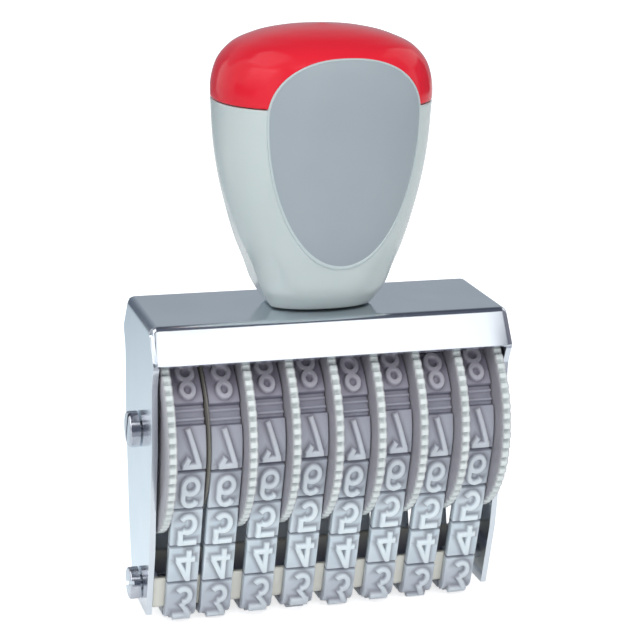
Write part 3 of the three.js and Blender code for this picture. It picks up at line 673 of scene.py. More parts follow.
def band_height(way, across, slip, half_width):
    """Height above the band's inner face: the base, a plinth under each symbol with a groove between plinths,
    two ridges in the joint strip, and the type on the plinths with sloping sides. Also gives how far each
    point is up the type, how near it lies to the type's foot, and how deep in a groove."""
    plinth = np.zeros(way.shape)
    relief = np.zeros(np.broadcast(way, across).shape)
    foot = np.zeros_like(relief)
    half = (PLINTH_PITCH - PLINTH_GROOVE) / 2
    for index, symbol in enumerate(SYMBOLS):
        middle = index * PLINTH_PITCH + (JOINT_LENGTH if index > JOINT_AFTER else 0) - slip
        offset = np.mod(way - middle + LOOP_LENGTH / 2, LOOP_LENGTH) - LOOP_LENGTH / 2
        plinth = np.maximum(plinth, smooth_step((half - np.abs(offset)) / PLINTH_RAMP))
        distance = figure_distance(symbol, across - GLYPH_SHIFT, offset)
        relief = np.maximum(relief, smooth_step(0.5 - distance / TYPE_RAMP))
        foot = np.maximum(foot, smooth_step(1 - distance / FOOT_REACH))
    joint_start = (JOINT_AFTER + 0.5) * PLINTH_PITCH - slip
    ridge = np.zeros(way.shape)
    for share in RIDGE_SHARES:
        offset = way - joint_start - JOINT_LENGTH * share
        offset = np.mod(offset + LOOP_LENGTH / 2, LOOP_LENGTH) - LOOP_LENGTH / 2
        ridge = np.maximum(ridge, smooth_step((RIDGE_LENGTH / 2 - np.abs(offset)) / PLINTH_RAMP))
    in_joint = np.mod(way - joint_start, LOOP_LENGTH) < JOINT_LENGTH
    groove = np.where(in_joint, JOINT_GROOVE_SHARE * (1 - ridge), 1 - plinth) + 0 * across
    height = BAND_BASE + PLINTH_HEIGHT * plinth + RIDGE_HEIGHT * ridge + RELIEF_HEIGHT * relief
    inset = np.clip(BAND_EDGE - (half_width - np.abs(across)), 0, BAND_EDGE)
    return height - (BAND_EDGE - np.sqrt(BAND_EDGE ** 2 - inset ** 2)), relief, foot * (1 - relief), groove


def make_band(number, slip_share):
    """A band as one closed strip: ways round the loop by places across it, the outer face raised by
    band_height, the inner face plain."""
    low, high = node_span(f"band_{number}", 0)
    half_width = (high - low) / 2
    steps = round(LOOP_LENGTH / BAND_CELL)
    way = (np.arange(steps) * LOOP_LENGTH / steps)[:, None]
    inner_span = half_width - BAND_EDGE
    edge = BAND_EDGE * np.sin(np.linspace(0, math.pi / 2, 4))[1:]
    inside = np.linspace(-inner_span, inner_span, round(2 * inner_span / BAND_CELL) + 1)
    across = np.concatenate([-inner_span - edge[::-1], inside, inner_span + edge])[None, :]
    height, relief, foot, groove = band_height(way, across, slip_share * PLINTH_PITCH, half_width)
    wall = np.array([0.5, 0.0])
    left = height[:, :1] * wall[None, ::-1]
    right = height[:, -1:] * wall[None, :]
    under = np.zeros((steps, 5))
    heights = np.concatenate([left, height, right, under], axis=1)
    back = np.linspace(half_width, -half_width, 7)[1:-1]
    places = np.concatenate([np.full(2, -half_width), across[0], np.full(2, half_width), back])
    y, z = loop_place(way, heights)
    x = np.broadcast_to(places + (low + high) / 2, y.shape)

    def padded(value):
        """An outer face's values with its edges carried down the walls and nothing on the inner face."""
        first, last = value[:, :1], value[:, -1:]
        return np.concatenate([first, first, value, last, last, under], axis=1)

    # These masks carry the painted highlight on the type's faces and the painted shade about their feet and
    # in the grooves.
    mesh = make_mesh(
        f"type_band_{number}", np.stack([x, y, z], axis=-1),
        [grid_faces(steps, heights.shape[1], wrap_rows=True)],
        {"type_face_highlight": padded(relief), "type_foot_shade": padded(foot), "groove": padded(groove)})
    return add_piece(f"type_band_{number}", mesh, RUBBER, "frame", f"band_{number}")


# Thumbwheels
def make_wheel(number):
    """A thumbwheel as a profile carried round its axis: the bore, a flange with a notched rim, and the drum.
    A notch's depth follows the cosine of its tooth's turn and is greatest left of the rim's middle."""
    low, high = node_span(f"wheel_{number}", 0)
    flange_left = number == 1
    length = high - low
    rim = np.linspace(0, FLANGE_THICKNESS, 11)
    edge = np.minimum(rim, FLANGE_THICKNESS - rim)
    drop = np.clip(RIM_EDGE - edge, 0, RIM_EDGE)
    rim_radius = WHEEL_RADIUS - RIM_EDGE + np.sqrt(RIM_EDGE ** 2 - drop ** 2)
    face = [(0, BORE_RADIUS), (0, RECESS_INNER), (RECESS_DEPTH, RECESS_INNER + RECESS_SLOPE),
            (RECESS_DEPTH, RECESS_OUTER - RECESS_SLOPE), (0, RECESS_OUTER), (0, WHEEL_RADIUS - RIM_WIDTH)]
    inner = [(FLANGE_THICKNESS, WHEEL_RADIUS - RIM_WIDTH), (FLANGE_THICKNESS, DRUM_RADIUS + DRUM_FILLET),
             (FLANGE_THICKNESS + DRUM_FILLET_RUN, DRUM_RADIUS), (length - DRUM_EDGE, DRUM_RADIUS),
             (length, DRUM_RADIUS - DRUM_EDGE), (length, BORE_RADIUS)]
    depth_places = np.concatenate([[s for s, _ in face], rim, [s for s, _ in inner]])
    radii = np.concatenate([[r for _, r in face], rim_radius, [r for _, r in inner]])
    seen_from_left = rim if flange_left else FLANGE_THICKNESS - rim
    across = seen_from_left / FLANGE_THICKNESS
    weight = 0.4 + 0.6 * smooth_step((0.36 - np.abs(across - 0.44)) / 0.16)
    weights = np.concatenate([np.zeros(len(face)), weight, np.zeros(len(inner))])
    turns = np.arange(TOOTH_COUNT * TOOTH_STEPS) * 2 * math.pi / (TOOTH_COUNT * TOOTH_STEPS)
    notch = smooth_step((0.35 - np.cos(turns * TOOTH_COUNT)) / 1.1)[:, None] * weights[None, :]
    radius = radii[None, :] - TOOTH_DEPTH * notch
    # The rim's crest is kept free of the painted shade that the material lays on the flange's flat sides.
    crest = smooth_step(edge / RIM_FADE)
    unshaded_crest = np.concatenate([np.zeros(len(face)), crest, np.zeros(len(inner))])
    x = low + depth_places if flange_left else high - depth_places
    points = np.stack([
        np.broadcast_to(x, radius.shape),
        radius * np.cos(turns)[:, None],
        AXIS_HEIGHT + radius * np.sin(turns)[:, None],
    ], axis=-1)
    mesh = make_mesh(
        f"thumbwheel_{number}", points, [grid_faces(len(turns), len(radii), wrap_rows=True)],
        {"notch": notch, "rim": np.broadcast_to(unshaded_crest, notch.shape)})
    mesh.set_sharp_from_angle(angle=math.radians(50))
    return add_piece(
        f"number_wheel_{number}", mesh, WHEEL, f"thumbwheel_{number}", f"wheel_{number}")


def turned_body(profile, sides, height):
    """Points and faces of a body turned about the X axis at a height: the profile lists places along X and
    radii, from one end on the axis to the other."""
    turns = np.arange(sides) * 2 * math.pi / sides
    profile = np.asarray(profile, dtype=float)
    x = np.repeat(profile[:, :1], sides, axis=1)
    y = profile[:, 1:] * np.cos(turns)
    z = height + profile[:, 1:] * np.sin(turns)
    return closed_rows(np.stack([x, y, z], axis=-1))


def make_divider():
    """The thin disc between the first two bands, with a rounded rim."""
    low, high = node_span("band_divider", 0)
    radius = node_span("band_divider", 2)[1] - AXIS_HEIGHT
    profile = np.array([
        (low, BORE_RADIUS), (low, radius - DIVIDER_EDGE), (low + DIVIDER_ROUNDING, radius),
        (high - DIVIDER_ROUNDING, radius), (high, radius - DIVIDER_EDGE), (high, BORE_RADIUS)])
    turns = np.arange(DISC_STEPS) * 2 * math.pi / DISC_STEPS
    points = np.stack([
        np.broadcast_to(profile[:, 0], (len(turns), len(profile))),
        profile[None, :, 1] * np.cos(turns)[:, None],
        AXIS_HEIGHT + profile[None, :, 1] * np.sin(turns)[:, None],
    ], axis=-1)
    mesh = make_mesh("divider_disc", points, [grid_faces(len(turns), len(profile), wrap_rows=True)])
    mesh.set_sharp_from_angle(angle=math.radians(50))
    return add_piece("divider_disc", mesh, DIVIDER, "frame", "band_divider")


# Side screws
def make_screw(kind, side_name):
    """A slotted screw: the head cut in slices across the slot, each slice a closed ring under a top that is
    rounded at the rim and sunk in the slot, and a plain shank behind it."""
    node = f"{kind}_{side_name}"
    (x_low, x_high), (z_low, z_high) = node_span(node, 0), node_span(node, 2)
    side = -1 if side_name == "left" else 1
    radius = (z_high - z_low) / 2
    height = (z_high + z_low) / 2
    crown = x_high if side > 0 else -x_low
    seat = OUTER_HALF + HEAD_SEAT
    turn = SCREW_SLOT_TURNS[kind]
    half_slot = SLOT_WIDTH / 2
    fine = radius * np.sin(np.linspace(-math.pi / 2, math.pi / 2, 41))
    outside = fine[np.abs(fine) > half_slot + 0.1]
    lane = np.sort(np.concatenate([outside, [-half_slot, -half_slot + 0.04, half_slot - 0.04, half_slot]]))
    half_chord = np.sqrt(np.maximum(radius ** 2 - lane ** 2, 1e-6))[:, None]
    along = np.sin(np.linspace(-math.pi / 2, math.pi / 2, 33))[None, :]
    rim = radius - np.hypot(lane[:, None], along * half_chord)
    inset = np.clip(HEAD_EDGE - rim, 0, HEAD_EDGE)
    edge_drop = HEAD_EDGE - np.sqrt(HEAD_EDGE ** 2 - inset ** 2)
    top = crown - edge_drop - HEAD_CROWN * (1 - rim / radius) ** 2
    top = np.where(np.abs(lane[:, None]) < half_slot - 0.02, np.minimum(top, crown - SLOT_DEPTH), top)
    depth = np.concatenate([top, np.full_like(top, seat)], axis=1)
    travel = np.concatenate([along, along[:, ::-1]], axis=1) * half_chord
    lanes = np.broadcast_to(lane[:, None], depth.shape)
    y = lanes * math.cos(turn) - travel * math.sin(turn)
    z = height + lanes * math.sin(turn) + travel * math.cos(turn)
    head_points, head_faces = closed_rows(np.stack([side * depth, y, z], axis=-1))
    head = facing_out(head_points, head_faces)
    shank_end = -x_high if side < 0 else x_low
    shank_profile = [(side * shank_end, 0.02), (side * shank_end, SHANK_RADIUS - SHANK_EDGE),
                     (side * (shank_end + SHANK_EDGE), SHANK_RADIUS), (side * (seat + 0.4), SHANK_RADIUS),
                     (side * (seat + 0.4), 0.02)]
    shank_points, shank_faces = turned_body(shank_profile, 24, height)
    shank = [group + len(head_points) for group in facing_out(shank_points, shank_faces)]
    mesh = make_mesh(node, np.concatenate([head_points, shank_points]), head + shank)
    mesh.set_sharp_from_angle(angle=math.radians(40))
    return add_piece(f"slotted_{node}", mesh, SCREW, "frame", node)


# Bar under the bands
def make_bar():
    """The bar as its section carried along X: a flat sole, round corners and sides that slant with the
    bands, hollowed from above between two end walls, and drawn in at its two ends."""
    low, high = node_span("platen_bar", 0)
    sole, top = node_span("platen_bar", 2)
    half = BAR_FLAT / 2
    corner_height = sole + BAR_CORNER
    angle = -math.pi / 2 + (math.pi / 2 - SLANT) * np.linspace(0, 1, 10)
    corner = np.column_stack([half + BAR_CORNER * np.cos(angle), corner_height + BAR_CORNER * np.sin(angle)])

    def side(z):
        """How far out the slanted side stands at a height."""
        return corner[-1, 0] + (z - corner[-1, 1]) * math.tan(SLANT)

    outer = np.concatenate([corner, [[side(top) - 0.1, top - BAR_LIP], [side(top) - 0.3, top]]])
    wall_top = [side(top) - BAR_WALL + 0.2, top]
    rows = []
    shaded_hollow = []
    ends = [
        (low, 0.965, 0), (low + 0.08, 0.99, 0), (low + 0.3, 1.0, 0), (low + BAR_WALL - 0.1, 1.0, 0),
        (low + BAR_WALL, 1.0, 1), (high - BAR_WALL, 1.0, 1), (high - BAR_WALL + 0.1, 1.0, 0),
        (high - 0.3, 1.0, 0), (high - 0.08, 0.99, 0), (high, 0.965, 0)]
    for x, scale, hollow in ends:
        edge = top - BAR_LIP * hollow
        floor = top - (top - sole - BAR_WALL) * hollow
        inner = [wall_top, [side(edge) - BAR_WALL, edge], [side(floor) - BAR_WALL, floor]]
        right = np.concatenate([outer, inner])
        section = np.concatenate([right, right[::-1] * [-1, 1]])
        middle = np.array([0, (sole + top) / 2])
        ring = middle + (section - middle) * scale
        rows.append(np.column_stack([np.full(len(ring), x), ring]))
        # The middle points of each section, at the hollow's floor, take the painted shade.
        shaded_hollow.append(np.abs(np.arange(len(ring)) - (len(ring) - 1) / 2) < 1.5)
    points, faces = closed_rows(np.array(rows))
    mesh = make_mesh("bar", points, faces, {"hollow": [*np.ravel(shaded_hollow), 0, 0]})
    mesh.set_sharp_from_angle(angle=math.radians(50))
    return add_piece("band_bar", mesh, BAR, "frame", "platen_bar")


# Frame
def frame_strip():
    """The strip's outer face in X and Z from the left foot over the top to the right foot, and the row in
    it, in the middle of the first bend, where the lips begin."""
    turns = np.linspace(0, math.pi / 2, 9)
    inner_x = OUTER_HALF - BEND_RADIUS
    bend_z = FRAME_HEIGHT - BEND_RADIUS
    ears = [FRAME_HEIGHT - drop for drop, _ in EAR_STATIONS[:0:-1]]
    side_z = np.array([
        FOOT_HEIGHT, FOOT_HEIGHT + 1.2, FOOT_HEIGHT + TAPER_RISE - CORNER_EASE, FOOT_HEIGHT + TAPER_RISE,
        FOOT_HEIGHT + TAPER_RISE + CORNER_EASE, AXIS_HEIGHT - CORNER_EASE, AXIS_HEIGHT,
        AXIS_HEIGHT + CORNER_EASE, *ears])
    left = np.column_stack([np.full(len(side_z), -OUTER_HALF), side_z])
    corner = np.column_stack([-inner_x - BEND_RADIUS * np.cos(turns), bend_z + BEND_RADIUS * np.sin(turns)])
    top_x = np.concatenate([np.linspace(-inner_x, -inner_x + 5, 6)[1:], np.linspace(-inner_x + 5, 0, 8)[1:]])
    top = np.column_stack([top_x, np.full(len(top_x), FRAME_HEIGHT)])
    half_line = np.concatenate([left, corner, top])
    lip_start = len(left) + len(turns) // 2
    return np.concatenate([half_line, half_line[-2::-1] * [-1, 1]]), lip_start


def half_depth(z):
    """Half depth of the side plates at a height: straight tapers between the foot, the waist and the
    shoulder, then the ears, up to the edge where the lips bend."""
    stations = [FOOT_HEIGHT, FOOT_HEIGHT + TAPER_RISE, AXIS_HEIGHT]
    depths = [FOOT_HALF_DEPTH, TAPER_HALF_DEPTH, SIDE_HALF_DEPTH]
    for drop, depth in reversed(EAR_STATIONS):
        stations.append(FRAME_HEIGHT - drop)
        depths.append(depth)
    return np.interp(z, stations, depths)


def frame_lip(way, line):
    """A lip's outer face: a bend over the top's edge and a straight flare, carried along the strip's line.
    Where the line drops at the strip's bends, the lip's upper part drops with it and its free edge stays. The
    ends turn back with the square of the way into them."""
    angle = np.linspace(0, math.radians(LIP_TILT), 7)
    y = LIP_START_DEPTH + LIP_BEND * np.sin(angle)
    z = FRAME_HEIGHT - LIP_BEND + LIP_BEND * np.cos(angle)
    steps = np.linspace(0, 1, 4)[1:]
    y = np.concatenate([y, y[-1] + (LIP_END_DEPTH - y[-1]) * steps])
    z = np.concatenate([z, z[-1] + (FRAME_HEIGHT - LIP_DROP - z[-1]) * steps])
    rest = (LIP_END_DEPTH - y) / (LIP_END_DEPTH - LIP_START_DEPTH)
    drop = (FRAME_HEIGHT - line[:, 1])[:, None] * rest
    near_end = np.clip((np.abs(line[:, 0]) - OUTER_HALF) / LIP_TURN_LENGTH + 1, 0, 1)[:, None]
    turned = LIP_TURN_DEPTH * near_end ** 2 * (1 - rest)
    return np.stack(np.broadcast_arrays(line[:, :1], way * (y - turned), z - drop), axis=-1)


def make_frame():
    """The frame's outer face as three sheets of points, the bent strip and two lips, joined where they meet,
    then thickened inwards and its edges rounded."""
    line, lip_start = frame_strip()
    share = np.linspace(-1, 1, 9)
    depth = half_depth(line[:, 1])[:, None] * share
    strip = np.stack(np.broadcast_arrays(line[:, :1], depth, line[:, 1:]), axis=-1)
    covered = line[lip_start:len(line) - lip_start]
    sheets = [strip, frame_lip(-1, covered)[:, ::-1], frame_lip(1, covered)]
    points = np.concatenate([sheet.reshape(-1, 3) for sheet in sheets])
    faces = []
    start = 0
    for sheet in sheets:
        faces.append(grid_faces(sheet.shape[0], sheet.shape[1], wrap_columns=False) + start)
        start += sheet.shape[0] * sheet.shape[1]
    keys = np.round(points / 0.001).astype(np.int64)
    _, first, back = np.unique(keys, axis=0, return_index=True, return_inverse=True)
    faces = back.ravel()[np.concatenate(faces)][:, ::-1]
    mesh = bpy.data.meshes.new("bent_frame")
    mesh.from_pydata((points[first] * MM).tolist(), [], faces.tolist())
    mesh.shade_smooth()
    piece = add_piece("bent_frame", mesh, STEEL, "frame", "frame_shell")
    wall = piece.modifiers.new("wall", "SOLIDIFY")
    wall.thickness = SHEET * MM
    wall.offset = -1.0
    wall.use_even_offset = True
    edge = piece.modifiers.new("edge", "BEVEL")
    edge.width = SHEET_EDGE * MM
    edge.segments = 3
    edge.limit_method = "ANGLE"
    edge.angle_limit = math.radians(50)
    normals = piece.modifiers.new("normals", "WEIGHTED_NORMAL")
    normals.keep_sharp = True
    return piece


# Grip
def grip_profile(count):
    """Height, half width and half depth of the grip from foot to crown."""
    rows = smooth_curve(GRIP_SHARES, count)
    rows[-1, 1:] = 0
    return rows * [GRIP_HEIGHT, GRIP_HALF_WIDTH, GRIP_HALF_DEPTH]


def pressed(value):
    """A cosine or sine pressed outwards, for a squarer oval."""
    return np.sign(value) * np.abs(value) ** GRIP_SQUARENESS


PROFILE = grip_profile(600)


def grip_at(z):
    """Half width and half depth of the grip's outer form at a height above its foot."""
    return np.interp(z, PROFILE[:, 0], PROFILE[:, 1]), np.interp(z, PROFILE[:, 0], PROFILE[:, 2])


def label_edge(x, z):
    """Distance outside the label's outline, negative inside it: a pressed oval above its widest line and a
    round one below, each as its implicit value over its slope. Heights are above the grip's foot."""
    widest = LABEL_WIDEST_SHARE * GRIP_HEIGHT
    upper = (LABEL_TOP_SHARE - LABEL_WIDEST_SHARE) * GRIP_HEIGHT
    lower = (LABEL_WIDEST_SHARE - LABEL_BOTTOM_SHARE) * GRIP_HEIGHT
    above = z > widest
    power = np.where(above, 2 / GRIP_SQUARENESS, 2.0)
    b = np.where(above, upper, lower)
    u = np.abs(x - LABEL_SHIFT) / LABEL_HALF_WIDTH
    v = np.abs(z - widest) / b
    level = (u ** power + v ** power + 1e-9) ** (1 / power)
    slope_u = (u / level) ** (power - 1) / LABEL_HALF_WIDTH
    slope_v = (v / level) ** (power - 1) / b
    return (level - 1) / np.hypot(slope_u, slope_v)


def grip_rows(z, inset, columns):
    """Rings of the grip's form at heights above its foot, drawn in by insets, with a flat on each side that
    grows broader towards the foot."""
    width, depth = grip_at(z)
    turns = np.arange(columns) * 2 * math.pi / columns
    flat = np.maximum(width - inset, 0.01)[:, None]
    fuller = flat + FACET_DEPTH * smooth_step(1 - z / FACET_TOP)[:, None]
    x = np.clip(fuller * pressed(np.cos(turns)), -flat, flat)
    y = np.maximum(depth - inset, 0.01)[:, None] * pressed(np.sin(turns))
    heights = np.broadcast_to(z[:, None], x.shape)
    return np.stack([x, y, GRIP_BASE + heights], axis=-1)


def sink_label(rows):
    """Sinks a pocket for the label into the front of the grip."""
    distance = label_edge(rows[..., 0], rows[..., 2] - GRIP_BASE)
    front = rows[..., 1] < 0
    sunk = np.where(front, smooth_step(-distance / LABEL_SLOPE), 0)
    rows[..., 1] += LABEL_SINK * sunk
    return rows


def round_ends(low, high, radius, spacing):
    """Heights from low to high with a rounded edge at each end, and how far the form is drawn in there."""
    angle = np.linspace(0, math.pi / 2, 6)
    count = max(2, round((high - low - 2 * radius) / spacing))
    middle = np.linspace(low + radius, high - radius, count)
    rise = radius * (1 - np.cos(angle))
    inset = radius * (1 - np.sin(angle))
    heights = np.concatenate([low + rise[:-1], middle, high - rise[::-1][1:]])
    insets = np.concatenate([inset[:-1], np.zeros(count), inset[::-1][1:]])
    return heights, insets


GRIP_COLUMNS = 360


def make_grip_body():
    """The pale body: rings of the grip's form from foot to seam, closed above and below."""
    seam = CAP_EDGE_SHARE * GRIP_HEIGHT
    heights, insets = round_ends(0.0, seam - SEAM_GAP / 2, SEAM_ROUNDING, 0.4)
    rows = sink_label(grip_rows(heights, insets, GRIP_COLUMNS))
    low = rows[0] * [0.5, 0.5, 1.0]
    high = rows[-1].copy()
    high[:, :2] *= 0.5
    rows = np.concatenate([low[None], rows, high[None]])
    mesh = make_mesh("grip_body", *closed_rows(rows))
    mesh.set_sharp_from_angle(angle=math.radians(60))
    return add_piece("grip_body", mesh, GRIP, "frame", "handle_body")


def make_grip_cap():
    """The red cap: the grip's form from seam to crown outside, and drawn in by the wall inside."""
    seam = CAP_EDGE_SHARE * GRIP_HEIGHT + SEAM_GAP / 2
    crown = PROFILE[:, 0] > seam + SEAM_ROUNDING
    angle = np.linspace(0, math.pi / 2, 6)[:-1]
    heights = np.concatenate([seam + SEAM_ROUNDING * (1 - np.cos(angle)), PROFILE[crown, 0][::2]])
    edge_width, edge_depth = grip_at(heights[:len(angle)])
    widths = np.concatenate([edge_width, PROFILE[crown, 1][::2]])
    depths = np.concatenate([edge_depth, PROFILE[crown, 2][::2]])
    insets = np.concatenate([SEAM_ROUNDING * (1 - np.sin(angle)), np.zeros(len(heights) - len(angle))])
    turns = np.arange(GRIP_COLUMNS) * 2 * math.pi / GRIP_COLUMNS

    def rings(heights, widths, depths):
        """Rings of the pressed oval at heights, by their half widths and half depths."""
        x = np.maximum(widths, 0.01)[:, None] * pressed(np.cos(turns))
        y = np.maximum(depths, 0.01)[:, None] * pressed(np.sin(turns))
        return np.stack([x, y, np.broadcast_to(GRIP_BASE + heights[:, None], x.shape)], axis=-1)

    outer = sink_label(rings(heights, widths - insets, depths - insets))
    inner_share = np.linspace(0, 1, 24)
    inner_turn = inner_share * math.pi / 2
    inner_rise = (GRIP_HEIGHT - CAP_WALL - seam) * np.sin(inner_turn)
    inner_scale = np.cos(inner_turn) ** 0.7
    width, depth = grip_at(np.array([seam]))
    inner = rings(
        seam + inner_rise, (width[0] - 2 * CAP_WALL) * inner_scale, (depth[0] - 2 * CAP_WALL) * inner_scale)
    rows = np.concatenate([inner[::-1], outer])
    mesh = make_mesh("grip_cap", *closed_rows(rows))
    mesh.set_sharp_from_angle(angle=math.radians(60))
    return add_piece("grip_cap", mesh, CAP, "frame", "handle_cap")


def make_label():
    """The bare label: rings that shrink from its outline to its middle, laid on the front of the grip's form
    with a raised edge, and a plain back behind them."""
    widest = LABEL_WIDEST_SHARE * GRIP_HEIGHT
    upper = (LABEL_TOP_SHARE - LABEL_WIDEST_SHARE) * GRIP_HEIGHT
    lower = (LABEL_WIDEST_SHARE - LABEL_BOTTOM_SHARE) * GRIP_HEIGHT
    turns = np.arange(LABEL_RING_STEPS) * 2 * math.pi / LABEL_RING_STEPS
    top = np.sin(turns) > 0
    edge_x = np.where(top, pressed(np.cos(turns)), np.cos(turns)) * LABEL_HALF_WIDTH
    edge_z = np.where(top, pressed(np.sin(turns)) * upper, np.sin(turns) * lower)
    inward = np.concatenate([[0.0, 0.06, 0.14, 0.22, 0.3, 0.38, 0.46, 0.6], np.linspace(1.0, 16.9, 26)])
    share = 1 - inward / LABEL_HALF_WIDTH
    x = LABEL_SHIFT + share[:, None] * edge_x
    z = widest + share[:, None] * edge_z
    width, depth = grip_at(z)
    ratio = np.clip(np.abs(x) / width, 0, 0.999)
    front = -depth * (1 - ratio ** (2 / GRIP_SQUARENESS)) ** (GRIP_SQUARENESS / 2)
    bead = np.sqrt(np.clip(1 - ((inward - LABEL_RIM / 2) / (LABEL_RIM / 2)) ** 2, 0, 1))
    lift = np.where(inward < LABEL_RIM, 0.05 + 0.2 * bead, 0.02)[:, None]
    y = front - lift
    face = np.stack([x, y, GRIP_BASE + z], axis=-1)
    back = face[::-1].copy()
    back[..., 1] = back[..., 1] + LABEL_THICKNESS
    rows = np.concatenate([face[::-1], face[:1] + [0, 0.4, 0], back[::-1][:1], back[::-1][10::6]])
    rim = np.broadcast_to((1 - smooth_step((inward - LABEL_RIM) / 0.12))[:, None], x.shape)
    rim = np.concatenate([rim[::-1], rim[:1], rim[:1], 0 * rim[10::6]])
    points, faces = closed_rows(rows)
    values = np.concatenate([rim.ravel(), [0, 0]])
    mesh = make_mesh("label_plate", points, faces, {"rim": values})
    mesh.set_sharp_from_angle(angle=math.radians(60))
    return add_piece("label_plate", mesh, LABEL, "frame", "handle_label")


for number, slip_share in enumerate(BAND_SLIP_SHARES, start=1):
    make_band(number, slip_share)
    make_wheel(number)
make_divider()
for kind in SCREW_SLOT_TURNS:
    for side_name in ("left", "right"):
        make_screw(kind, side_name)
make_bar()
make_frame()
make_grip_body()
make_grip_cap()
make_label()

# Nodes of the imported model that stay, with their own finish
for node, material in (("wheel_axle", STEEL), ("handle_insert", BRASS), ("handle_screw", SCREW)):
    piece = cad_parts[node]
    piece.data.materials.clear()
    piece.data.materials.append(material)


# Floor, cards that only metal and gloss see, lamps, world and camera
def glowing(name, low, high):
    """A glowing surface that goes from one colour to another with the mesh's rise value."""
    material = bpy.data.materials.new(name)
    material.use_nodes = True
    tree = material.node_tree
    tree.nodes.clear()
    rise = tree.nodes.new("ShaderNodeAttribute")
    rise.attribute_name = "rise"
    mix = tree.nodes.new("ShaderNodeMix")
    mix.data_type = "RGBA"
    mix.inputs["A"].default_value = (*low, 1.0)
    mix.inputs["B"].default_value = (*high, 1.0)
    glow = tree.nodes.new("ShaderNodeEmission")
    end = tree.nodes.new("ShaderNodeOutputMaterial")
    tree.links.new(rise.outputs["Fac"], mix.inputs["Factor"])
    tree.links.new(mix.outputs["Result"], glow.inputs["Color"])
    tree.links.new(glow.outputs["Emission"], end.inputs["Surface"])
    return material


def seen_directly(tree):
    """1 for rays from the camera and rays that gloss or glass sends on, 0 for the light of the scene."""
    path = tree.nodes.new("ShaderNodeLightPath")
    total = None
    for label in ("Is Camera Ray", "Is Glossy Ray", "Is Transmission Ray"):
        if total is None:
            total = path.outputs[label]
            continue
        both = tree.nodes.new("ShaderNodeMath")
        both.operation = "MAXIMUM"
        tree.links.new(total, both.inputs[0])
        tree.links.new(path.outputs[label], both.inputs[1])
        total = both.outputs["Value"]
    return total


FLOOR_HALF_WIDTH = 3000
FLOOR_HEIGHT = -0.05
# How much the floor is lifted for each kind of ray that sees it.
FLOOR_LIFTS = {"Is Camera Ray": 0.7, "Is Glossy Ray": 0.25, "Is Transmission Ray": 0.2}
AMBIENT = 0.6


def make_floor():
    """A wide pale floor just under the type. Seen directly it is lifted to white, its shadow kept."""
    half = FLOOR_HALF_WIDTH * MM
    corners = [(x * half, y * half, FLOOR_HEIGHT * MM) for x, y in ((-1, -1), (1, -1), (1, 1), (-1, 1))]
    mesh = bpy.data.meshes.new("floor")
    mesh.from_pydata(corners, [], [(0, 1, 2, 3)])
    floor = bpy.data.objects.new("floor", mesh)
    bpy.context.scene.collection.objects.link(floor)
    material = bpy.data.materials.new("floor_white")
    material.use_nodes = True
    tree = material.node_tree
    shader = tree.nodes["Principled BSDF"]
    shader.inputs["Base Color"].default_value = (0.88, 0.89, 0.9, 1.0)
    shader.inputs["Roughness"].default_value = 0.9
    shader.inputs["Specular IOR Level"].default_value = 0.1
    shader.inputs["Emission Color"].default_value = (1.0, 1.0, 1.0, 1.0)
    path = tree.nodes.new("ShaderNodeLightPath")
    total = None
    for label, strength in FLOOR_LIFTS.items():
        lift = tree.nodes.new("ShaderNodeMath")
        lift.operation = "MULTIPLY_ADD"
        lift.inputs[1].default_value = strength
        lift.inputs[2].default_value = 0.0
        tree.links.new(path.outputs[label], lift.inputs[0])
        if total:
            tree.links.new(total, lift.inputs[2])
        total = lift.outputs["Value"]
    tree.links.new(total, shader.inputs["Emission Strength"])
    mesh.materials.append(material)


def make_card(name, centre, across, up, low, high):
    """A flat card for reflections only, given by its middle and two half sides in millimetres, and its
    colours at its lower and upper edge."""
    centre, across, up = (Vector(v) * MM for v in (centre, across, up))
    corners = [centre - across - up, centre + across - up, centre + across + up, centre - across + up]
    mesh = bpy.data.meshes.new(name)
    mesh.from_pydata(corners, [], [(0, 1, 2, 3)])
    mesh.attributes.new("rise", "FLOAT", "POINT").data.foreach_set("value", [0.0, 0.0, 1.0, 1.0])
    card = bpy.data.objects.new(name, mesh)
    bpy.context.scene.collection.objects.link(card)
    mesh.materials.append(glowing(name, low, high))
    card.visible_camera = False
    card.visible_diffuse = False
    card.visible_shadow = False
    card.visible_transmission = False


def make_lamp(name, place, target, width, height, power, colour=(1.0, 1.0, 1.0)):
    """A soft rectangular lamp that faces a target, both in millimetres."""
    data = bpy.data.lights.new(name, "AREA")
    data.shape = "RECTANGLE"
    data.size = width * MM
    data.size_y = height * MM
    data.energy = power
    data.color = colour
    lamp = bpy.data.objects.new(name, data)
    bpy.context.scene.collection.objects.link(lamp)
    lamp.visible_glossy = False
    lamp.location = Vector(place) * MM
    lamp.rotation_euler = (Vector(target) - Vector(place)).to_track_quat("-Z", "Y").to_euler()
    return lamp


def make_world():
    """White where it is seen directly, a softer white as light."""
    world = bpy.data.worlds.new("studio")
    bpy.context.scene.world = world
    world.use_nodes = True
    tree = world.node_tree
    tree.nodes.clear()
    mix = tree.nodes.new("ShaderNodeMixShader")
    light = tree.nodes.new("ShaderNodeBackground")
    light.inputs["Color"].default_value = (0.93, 0.97, 1.0, 1.0)
    light.inputs["Strength"].default_value = AMBIENT
    white = tree.nodes.new("ShaderNodeBackground")
    white.inputs["Color"].default_value = (1.0, 1.0, 1.0, 1.0)
    white.inputs["Strength"].default_value = 1.0
    end = tree.nodes.new("ShaderNodeOutputWorld")
    tree.links.new(seen_directly(tree), mix.inputs["Fac"])
    tree.links.new(light.outputs["Background"], mix.inputs[1])
    tree.links.new(white.outputs["Background"], mix.inputs[2])
    tree.links.new(mix.outputs["Shader"], end.inputs["Surface"])


